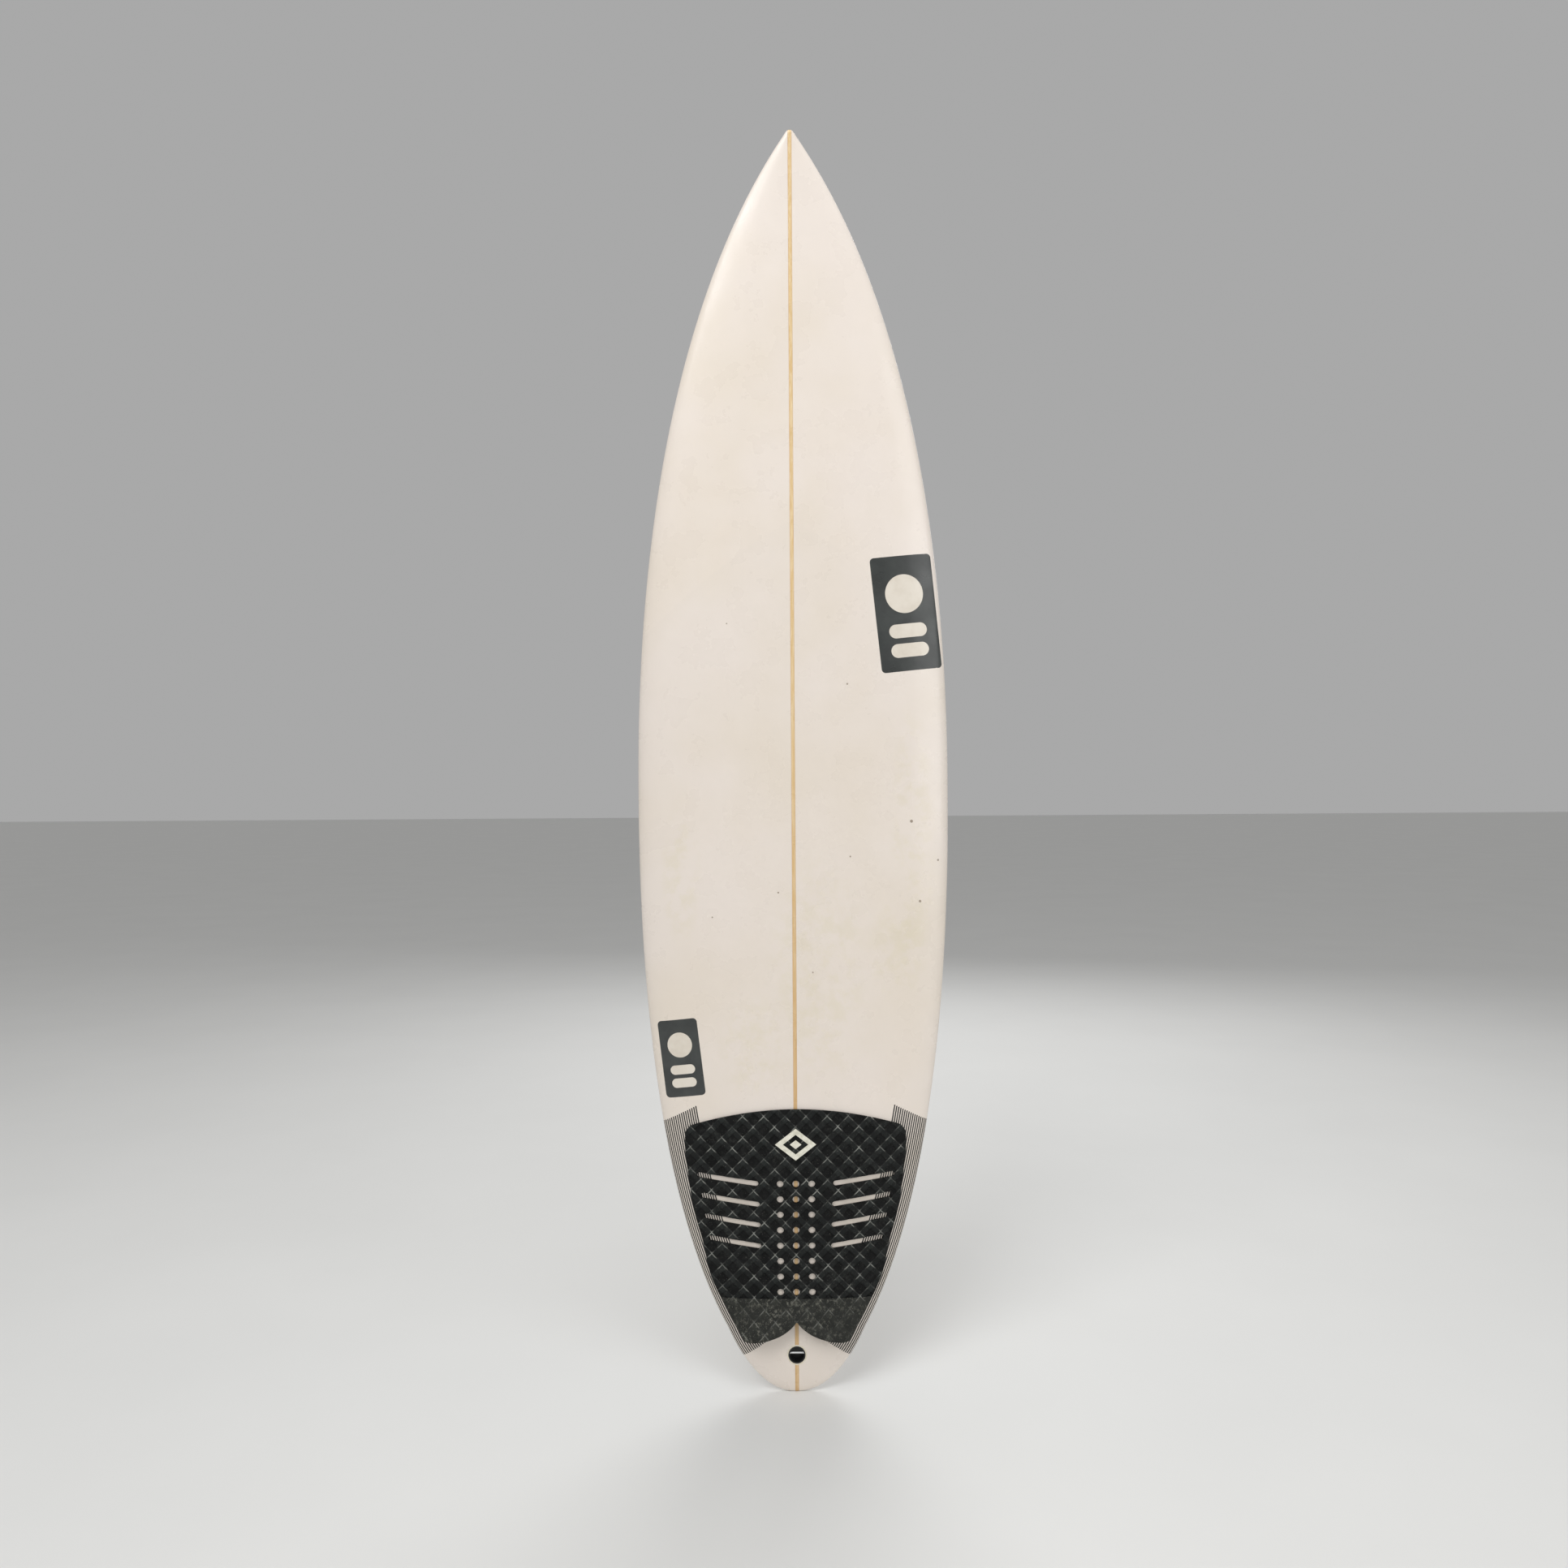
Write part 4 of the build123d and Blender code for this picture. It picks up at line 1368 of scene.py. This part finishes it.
@dataclass(frozen=True)
class GlassOverFoam:
    """Polyester resin, laid by hand over glass cloth and white foam, then sanded and glossed.

    It gives a pale, slightly yellowed gloss with faint cloth, stains, small dings and the wood below.
    """

    name: str = "glass_over_foam"
    pale: str = "eae0d7"
    warm: str = "e5dacc"
    stain: str = "d9cfae"
    wood: str = "dfc08a"
    wood_light: str = "ecd6ac"
    wood_dark: str = "c08d4c"
    arch_grey: str = "ddd4c9"
    ding: str = "7c6a55"
    speck: str = "c6b8a0"
    stringer_half_mm: float = 2.3
    glue_mm: float = 0.5
    weave_mm: float = 2.4
    roughness: float = 0.3
    with_stains: bool = True
    stains: tuple[tuple[float, float, float, float], ...] = (
        (-166.0, 755.0, 34.0, 120.0), (176.0, 800.0, 40.0, 230.0), (35.0, 610.0, 85.0, 200.0),
        (150.0, 640.0, 50.0, 90.0), (-60.0, 500.0, 60.0, 90.0))
    dings: tuple[tuple[float, float, float], ...] = (
        (80.0, 1031.0, 1.5), (214.0, 771.0, 1.8), (-23.0, 726.0, 1.5), (83.0, 778.0, 1.4), (27.0, 609.0, 1.3),
        (174.0, 829.0, 2.6), (186.0, 711.0, 2.2), (-96.0, 1120.0, 1.2), (-120.0, 690.0, 1.3))

    def make(self) -> bpy.types.Material:
        """Build the material.

        Returns:
            The finished material.
        """
        s = Shader(self.name)
        cloud = s.noise(260.0, 3.0)
        color = s.mix(s.ramp(cloud, 0.35, 0.7), self.pale, self.warm)
        if self.with_stains:
            mottled = s.ramp(s.noise(26.0, 6.0, 0.65), 0.42, 0.62)
            for x, z, half_x, half_z in self.stains:
                spot = s.math("MULTIPLY", s.blob(x, z, half_x, half_z, 0.9), mottled)
                color = s.mix(s.math("MULTIPLY", spot, 0.3), color, self.stain)
            color = s.mix(self.below_arch(s), color, self.arch_grey)
            for x, z, radius in self.dings:
                mark = s.math("MULTIPLY", s.blob(x, z, radius, radius, 0.5), 0.8)
                color = s.mix(mark, color, self.ding)
        dots = s.ramp(s.noise(3.0, 2.0), 0.66, 0.74)
        color = s.mix(s.math("MULTIPLY", dots, 0.1), color, self.speck)
        color = self.stringer(s, color)
        rough = s.ramp(s.noise(45.0, 5.0), 0.3, 0.75, self.roughness - 0.08, self.roughness + 0.16)
        cloth = self.cloth(s)
        ripple = s.bump(s.noise(70.0, 2.0), 0.25, 0.5)
        normal = s.bump(cloth, 0.03, 0.35, ripple)
        return s.finish(color, rough, normal, IOR=1.53, Coat_Weight=0.25, Coat_Roughness=0.12)

    def below_arch(self, s: Shader) -> bpy.types.NodeSocket:
        """Faintly greyer below a pointed arch, where the deck has a second layer of cloth.

        The arch's height in metres is 1.268 less 1.07 times the distance across to the power of 1.25.

        Args:
            s: The material under construction.

        Returns:
            Socket with the grey's share.
        """
        across = s.math("ABSOLUTE", s.axes[0])
        fall = s.math("MULTIPLY_ADD", s.math("POWER", across, 1.25), -1.07, 1.268)
        gap = s.math("SUBTRACT", fall, s.axes[2])
        return s.ramp(gap, 0.0, 0.006, 0.0, 0.16)

    def stringer(self, s: Shader, color: bpy.types.NodeSocket) -> bpy.types.NodeSocket:
        """Wood seen through the glass along the middle, with a thin dark glue line on each side.

        Args:
            s: The material under construction.
            color: Colour of the glass beside it.

        Returns:
            The colour with the wood in it.
        """
        across = s.math("ABSOLUTE", s.axes[0])
        grain = s.noise(1.6, 5.0, 0.6, (1, 1, 22))
        wood = s.mix(s.ramp(grain, 0.38, 0.66), self.wood, self.wood_light)
        low = s.ramp(s.axes[2], 1.15, 0.35, 0.05, 0.5)
        streaks = s.ramp(s.noise(120.0, 2.0), 0.3, 0.6, 0.6, 1.0)
        wood = s.mix(s.math("MULTIPLY", streaks, low), wood, self.wood_dark)
        half, soft = self.stringer_half_mm * MM, 0.0002
        inside = s.ramp(across, half + soft, half - soft, smooth=False)
        wide = half + self.glue_mm * MM
        glued = s.ramp(across, wide + soft, wide - soft / 2, smooth=False)
        color = s.mix(s.math("MULTIPLY", glued, 0.75), color, self.wood_dark)
        return s.mix(s.math("MULTIPLY", inside, 0.92), color, wood)

    def cloth(self, s: Shader) -> bpy.types.NodeSocket:
        """Plain weave print-through: two crossed sine waves, coarser than the real 1 mm, which can't show.

        Args:
            s: The material under construction.

        Returns:
            Socket with the cloth's height, 0 to 1.
        """
        turns = 2 * math.pi / (self.weave_mm * MM)
        first = s.math("SINE", s.math("MULTIPLY", s.axes[0], turns))
        second = s.math("SINE", s.math("MULTIPLY", s.axes[2], turns))
        return s.math("MULTIPLY_ADD", s.math("MULTIPLY", first, second), 0.5, 0.5)


@dataclass(frozen=True)
class CarbonTow:
    """Carbon fibre tow, laid flat and wetted out under resin: near-black with a soft dark sheen."""

    name: str = "carbon_tow"
    black: str = "121211"
    sheen: str = "201f1e"

    def make(self) -> bpy.types.Material:
        """Build the material.

        Returns:
            The finished material.
        """
        s = Shader(self.name)
        fibre = s.noise(0.9, 3.0, 0.5, (1, 1, 30))
        color = s.mix(s.ramp(fibre, 0.3, 0.7), self.black, self.sheen)
        rough = s.ramp(fibre, 0.3, 0.7, 0.28, 0.42)
        return s.finish(color, rough, IOR=1.53, Coat_Weight=0.3, Coat_Roughness=0.1)


@dataclass(frozen=True)
class PrintedTissue:
    """Ink on rice paper under resin: an even colour, slightly softened by the resin's haze."""

    name: str
    ink: str
    faded: str

    def make(self) -> bpy.types.Material:
        """Build the material.

        Returns:
            The finished material.
        """
        s = Shader(self.name)
        color = s.mix(s.ramp(s.noise(30.0, 6.0, 0.6), 0.35, 0.75), self.ink, self.faded)
        rough = s.ramp(s.noise(40.0, 4.0), 0.3, 0.7, 0.26, 0.42)
        return s.finish(color, rough, s.bump(s.noise(6.0, 3.0), 0.03, 0.3), IOR=1.53, Coat_Weight=0.25,
                        Coat_Roughness=0.12)


@dataclass(frozen=True)
class EvaFoam:
    """Moulded EVA foam: matt black with fine pores, pale dust and scuffs from feet, painted shade in the
    pockets and painted light on the squares.

    A painted highlight lies along the squares' upper edges, where light from above would catch them, and
    draws small bright chevrons over the pad.
    """

    name: str = "eva_foam"
    # The pockets take the base colour and the squares the high one: painted shade in the recesses and painted
    # light on the raised tops.
    base: str = "0b0c0c"
    high: str = "232625"
    dust: str = "50524e"
    fleck: str = "85847c"
    # The next colour, and the edge and rib strengths below, paint a highlight along the squares' upper edges.
    painted_highlight: str = "9a9b94"
    wear: float = 0.3
    wear_size_mm: float = 9.0
    painted_edge_highlight: float = 0.75
    painted_rib_highlight: float = 0.09
    edge_mm: float = 1.1
    lattice: PadLattice = PadLattice()

    def make(self) -> bpy.types.Material:
        """Build the material.

        Returns:
            The finished material.
        """
        s = Shader(self.name)
        level = node(s.tree, "ShaderNodeAttribute", attribute_name="level").outputs["Fac"]
        painted_chevrons = self.painted_upper_edge_highlight(s)
        patches = s.ramp(s.noise(60.0, 4.0), 0.42, 0.68)
        # Painted shade and light: darker in the pockets, lighter on the ribs and lightest on the squares.
        color = s.mix(s.ramp(level, 0.15, 1.0, smooth=False), self.base, self.high)
        scuff = s.ramp(s.noise(self.wear_size_mm, 8.0, 0.75), 0.5, 0.68)
        worn = s.math("MULTIPLY", scuff, s.math("MULTIPLY_ADD", patches, 0.65, 0.35))
        color = s.mix(s.math("MULTIPLY", worn, self.wear), color, self.dust)
        flecks = s.ramp(s.noise(1.6, 3.0, 0.6), 0.64, 0.72)
        color = s.mix(s.math("MULTIPLY", flecks, 0.2 + self.wear * 0.4), color, self.fleck)
        # Painted highlight: a pale colour along the squares' upper edges, stronger in some patches than in
        # others.
        highlight_patches = s.ramp(s.noise(34.0, 5.0, 0.7), 0.4, 0.64, 0.08, 1.0)
        shine = s.math("MULTIPLY", s.math("MULTIPLY", painted_chevrons, highlight_patches), self.painted_edge_highlight)
        color = s.mix(shine, color, self.painted_highlight)
        rough = s.ramp(s.noise(14.0, 4.0), 0.3, 0.7, 0.62, 0.86)
        pores = s.bump(s.noise(1.1, 2.0, 0.7), 0.16, 0.7)
        normal = s.bump(s.noise(8.0, 4.0), 0.3, 0.4, pores)
        return s.finish(color, rough, normal, IOR=1.49, Specular_IOR_Level=0.22)

    def painted_upper_edge_highlight(self, s: Shader) -> bpy.types.NodeSocket:
        """Painted highlight: one along the two upper sides of every square and 0 elsewhere.

        The diagonals x + z and x - z are wrapped at the pitch about each square's middle. A place is on an
        upper side where one of them is near half a rib's width and the other is inside the square.

        Args:
            s: The material under construction.

        Returns:
            Socket with the painted highlight's share.
        """
        x0, z0 = self.lattice.square_at_mm
        half, edge, root = self.lattice.rib_mm / 2 * MM, self.edge_mm * MM, math.sqrt(2)
        pitch = self.lattice.pitch_mm * MM
        wrapped = []
        for operation, origin in (("ADD", (x0 + z0) * MM / root), ("SUBTRACT", (x0 - z0) * MM / root)):
            diagonal = s.math("MULTIPLY", s.math(operation, s.axes[0], s.axes[2]), 1 / root)
            shifted = s.math("SUBTRACT", diagonal, origin)
            wrapped.append(s.math("WRAP", shifted, pitch / 2, -pitch / 2))
        rising, falling = wrapped[0], s.math("MULTIPLY", wrapped[1], -1.0)
        sides = []
        for first, second in ((rising, falling), (falling, rising)):
            off = s.math("ABSOLUTE", s.math("SUBTRACT", first, half - edge / 3))
            line = s.ramp(off, edge * 0.8, edge * 0.3)
            beside = s.math("ABSOLUTE", second)
            inside = s.ramp(beside, half + 4.5 * MM, half - MM, self.painted_rib_highlight, 1.0)
            sides.append(s.math("MULTIPLY", line, inside))
        return s.math("MAXIMUM", sides[0], sides[1])


@dataclass(frozen=True)
class Plain:
    """A moulded, cast or machined surface: one colour that drifts a little, with fine marks."""

    name: str
    color: str
    shade: str
    roughness: float
    metallic: float = 0.0
    ior: float = 1.5
    mark_mm: float = 0.8
    blotch_mm: float = 9.0
    stretch: tuple[float, float, float] = (1, 1, 1)
    depth_mm: float = 0.02

    def make(self) -> bpy.types.Material:
        """Build the material.

        Returns:
            The finished material.
        """
        s = Shader(self.name)
        blotches = s.ramp(s.noise(self.blotch_mm, 4.0, 0.6, self.stretch), 0.3, 0.72)
        color = s.mix(blotches, self.color, self.shade)
        rough = s.ramp(s.noise(self.mark_mm * 4, 4.0), 0.3, 0.7, self.roughness - 0.06, self.roughness + 0.1)
        normal = s.bump(s.noise(self.mark_mm, 3.0, 0.6, self.stretch), self.depth_mm, 0.6)
        constants = {"Metallic": self.metallic}
        if not self.metallic:
            constants["IOR"] = self.ior
        return s.finish(color, rough, normal, **constants)


# ---------------------------------------------------------------- parts kept from the frame


@dataclass
class Fittings:
    """CAD nodes that keep their own shape: the plug, the fin boxes, the mark and what is inside the board."""

    sides: tuple[str, str, str] = ("left", "right", "centre")

    def table(self) -> list[tuple[Plain, list[str]]]:
        """Each finish and the nodes that are made of it.

        Returns:
            One pair to a finish.
        """
        screws = ["fin_screw_" + side for side in self.sides]
        boxes = ["fin_box_" + side for side in self.sides]
        return [
            (Plain("moulded_abs", "111213", "1c1d1f", 0.34, ior=1.54, blotch_mm=4.0), ["leash_plug_cup"]),
            (Plain("stainless_steel", "eceded", "d2d4d5", 0.34, metallic=1.0, mark_mm=0.4,
                   stretch=(8, 1, 1)), ["leash_plug_bar", *screws]),
            (Plain("filler_resin", "e3dccb", "d6cbb2", 0.3, ior=1.55, blotch_mm=6.0),
             ["leash_plug_resin", *FIN_SEATS]),
            (Plain("moulded_polycarbonate", "e6e6e2", "d7d7d1", 0.36, ior=1.58, blotch_mm=14.0), boxes),
            (Plain("moulded_foam_mark", "ebe8da", "cfccbb", 0.62, mark_mm=1.2, blotch_mm=7.0,
                   depth_mm=0.12), ["pad_mark"]),
            (Plain("urethane_foam", "efeade", "e4dccb", 0.85, mark_mm=0.9, blotch_mm=60.0, depth_mm=0.1),
             ["foam_blank_left", "foam_blank_right"]),
            (Plain("basswood", "c9a36a", "b78d55", 0.6, mark_mm=1.5, blotch_mm=2.0, stretch=(1, 1, 24)),
             ["stringer"]),
            (Plain("glue_line", "9c7440", "86602f", 0.4, blotch_mm=5.0), ["stringer_glue"]),
            (Plain("saturated_cloth", "d9d0c0", "cfc4b0", 0.4, mark_mm=2.4), ["deck_patch"])]

    def dress(self) -> None:
        """Give each kept node the material of what it is made of."""
        for finish, names in self.table():
            material = finish.make()
            for name in names:
                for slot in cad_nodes()[name].material_slots:
                    slot.material = material
                LOG.info("dressed %s", name)


# ---------------------------------------------------------------- studio


@dataclass(frozen=True)
class SoftLight:
    """One square soft light: its place and its target in metres, its side and its power in watts."""

    name: str
    place: tuple[float, float, float]
    target: tuple[float, float, float]
    size: float
    power: float

    def hang(self) -> None:
        """Put the light into the scene and point it at its target."""
        data = bpy.data.lights.new(self.name, "AREA")
        data.size = self.size
        data.energy = self.power
        made = bpy.data.objects.new(self.name, data)
        made.location = self.place
        made.rotation_euler = (Vector(self.target) - Vector(self.place)).to_track_quat("-Z", "Y").to_euler()
        bpy.context.scene.collection.objects.link(made)


@dataclass
class Studio:
    """Pale floor, soft lights and the camera straight in front of the deck, in metres."""

    camera_x: float = -0.01351
    camera_z: float = 0.885
    camera_to_bottom: float = 1.782
    lens_mm: float = 27.04
    sensor_mm: float = 36.0
    clip: tuple[float, float] = (0.02, 100.0)
    roll_deg: float = 0.37
    floor_half: float = 30.0
    floor_grain_mm: float = 400.0
    room_color: str = "e6e6e6"
    room_strength: float = 0.5
    lights: tuple[SoftLight, ...] = (
        SoftLight("key", (-1.5, -2.6, 3.3), (0.0, 0.0, 0.85), 2.0, 56.0),
        SoftLight("fill", (2.4, -2.2, 1.4), (0.0, 0.0, 0.7), 2.0, 24.0),
        SoftLight("top", (0.0, -1.3, 3.4), (0.0, 0.0, 0.3), 1.4, 22.0),
        SoftLight("back", (0.6, 2.8, 2.6), (0.0, 0.0, 0.9), 2.2, 44.0))

    def build(self, shape: BoardShape) -> None:
        """Make the floor, the lights, the room's even light and the camera.

        Args:
            shape: The board, whose bottom the camera's distance is measured from.
        """
        self.floor()
        for light in self.lights:
            light.hang()
        world = bpy.data.worlds.new("soft_room")
        world.use_nodes = True
        room = world.node_tree.nodes["Background"]
        room.inputs["Color"].default_value = linear(self.room_color)
        room.inputs["Strength"].default_value = self.room_strength
        bpy.context.scene.world = world
        bpy.context.scene.view_settings.view_transform = "Standard"
        data = bpy.data.cameras.new("front_camera")
        data.lens = self.lens_mm
        data.sensor_width = self.sensor_mm
        data.clip_start, data.clip_end = self.clip
        camera = bpy.data.objects.new("front_camera", data)
        y = shape.shift() * MM - self.camera_to_bottom
        camera.location = (self.camera_x, y, self.camera_z)
        camera.rotation_euler = (math.pi / 2, math.radians(self.roll_deg), 0.0)
        bpy.context.scene.collection.objects.link(camera)
        bpy.context.scene.camera = camera

    def floor(self) -> None:
        """A wide pale floor just under the tail."""
        mesh = bpy.data.meshes.new("floor")
        h = self.floor_half
        mesh.from_pydata([(-h, -h, 0.0), (h, -h, 0.0), (h, h, 0.0), (-h, h, 0.0)], [], [(0, 1, 2, 3)])
        s = Shader("pale_floor")
        material = s.finish(s.mix(s.noise(self.floor_grain_mm, 3.0), "e4e4e2", "dededc"), 0.65)
        mesh.materials.append(material)
        made = bpy.data.objects.new("floor", mesh)
        bpy.context.scene.collection.objects.link(made)


def main() -> None:
    """Build every sub-assembly in order and report each one."""
    logging.basicConfig(level=logging.INFO)
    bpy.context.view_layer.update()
    shape = BoardShape()
    Studio().build(shape)
    LOG.info("studio ready")
    under = GlassOverFoam(name="bottom_glass_over_foam", with_stains=False, roughness=0.26)
    BoardSkin(shape).build(GlassOverFoam().make(), under.make())
    LOG.info("skins ready")
    RailTows(shape).build(CarbonTow().make())
    LOG.info("rail tows ready")
    panel = PrintedTissue("dark_print", "2f3231", "3b3f3d").make()
    figure = PrintedTissue("pale_print", "e2dacd", "d6ccbd").make()
    Label(shape, "decal_large", 167.5, 1134.5, 91.0, 168.0, 6.3).build(panel, figure)
    Label(shape, "decal_small", -167.0, 483.0, 59.0, 113.0, 7.0).build(panel, figure)
    LOG.info("labels ready")
    # The kick's worn foam: more dust, less painted shade between pockets and squares, and a weaker painted
    # edge highlight.
    worn = EvaFoam(name="worn_eva_foam", base="262724", high="30312d", dust="86857a", wear=0.85,
                   wear_size_mm=6.0, painted_edge_highlight=0.35)
    TractionPad(shape).build(EvaFoam().make(), worn.make())
    LOG.info("traction pad ready")
    Fittings().dress()


if __name__ == "__main__":
    main()
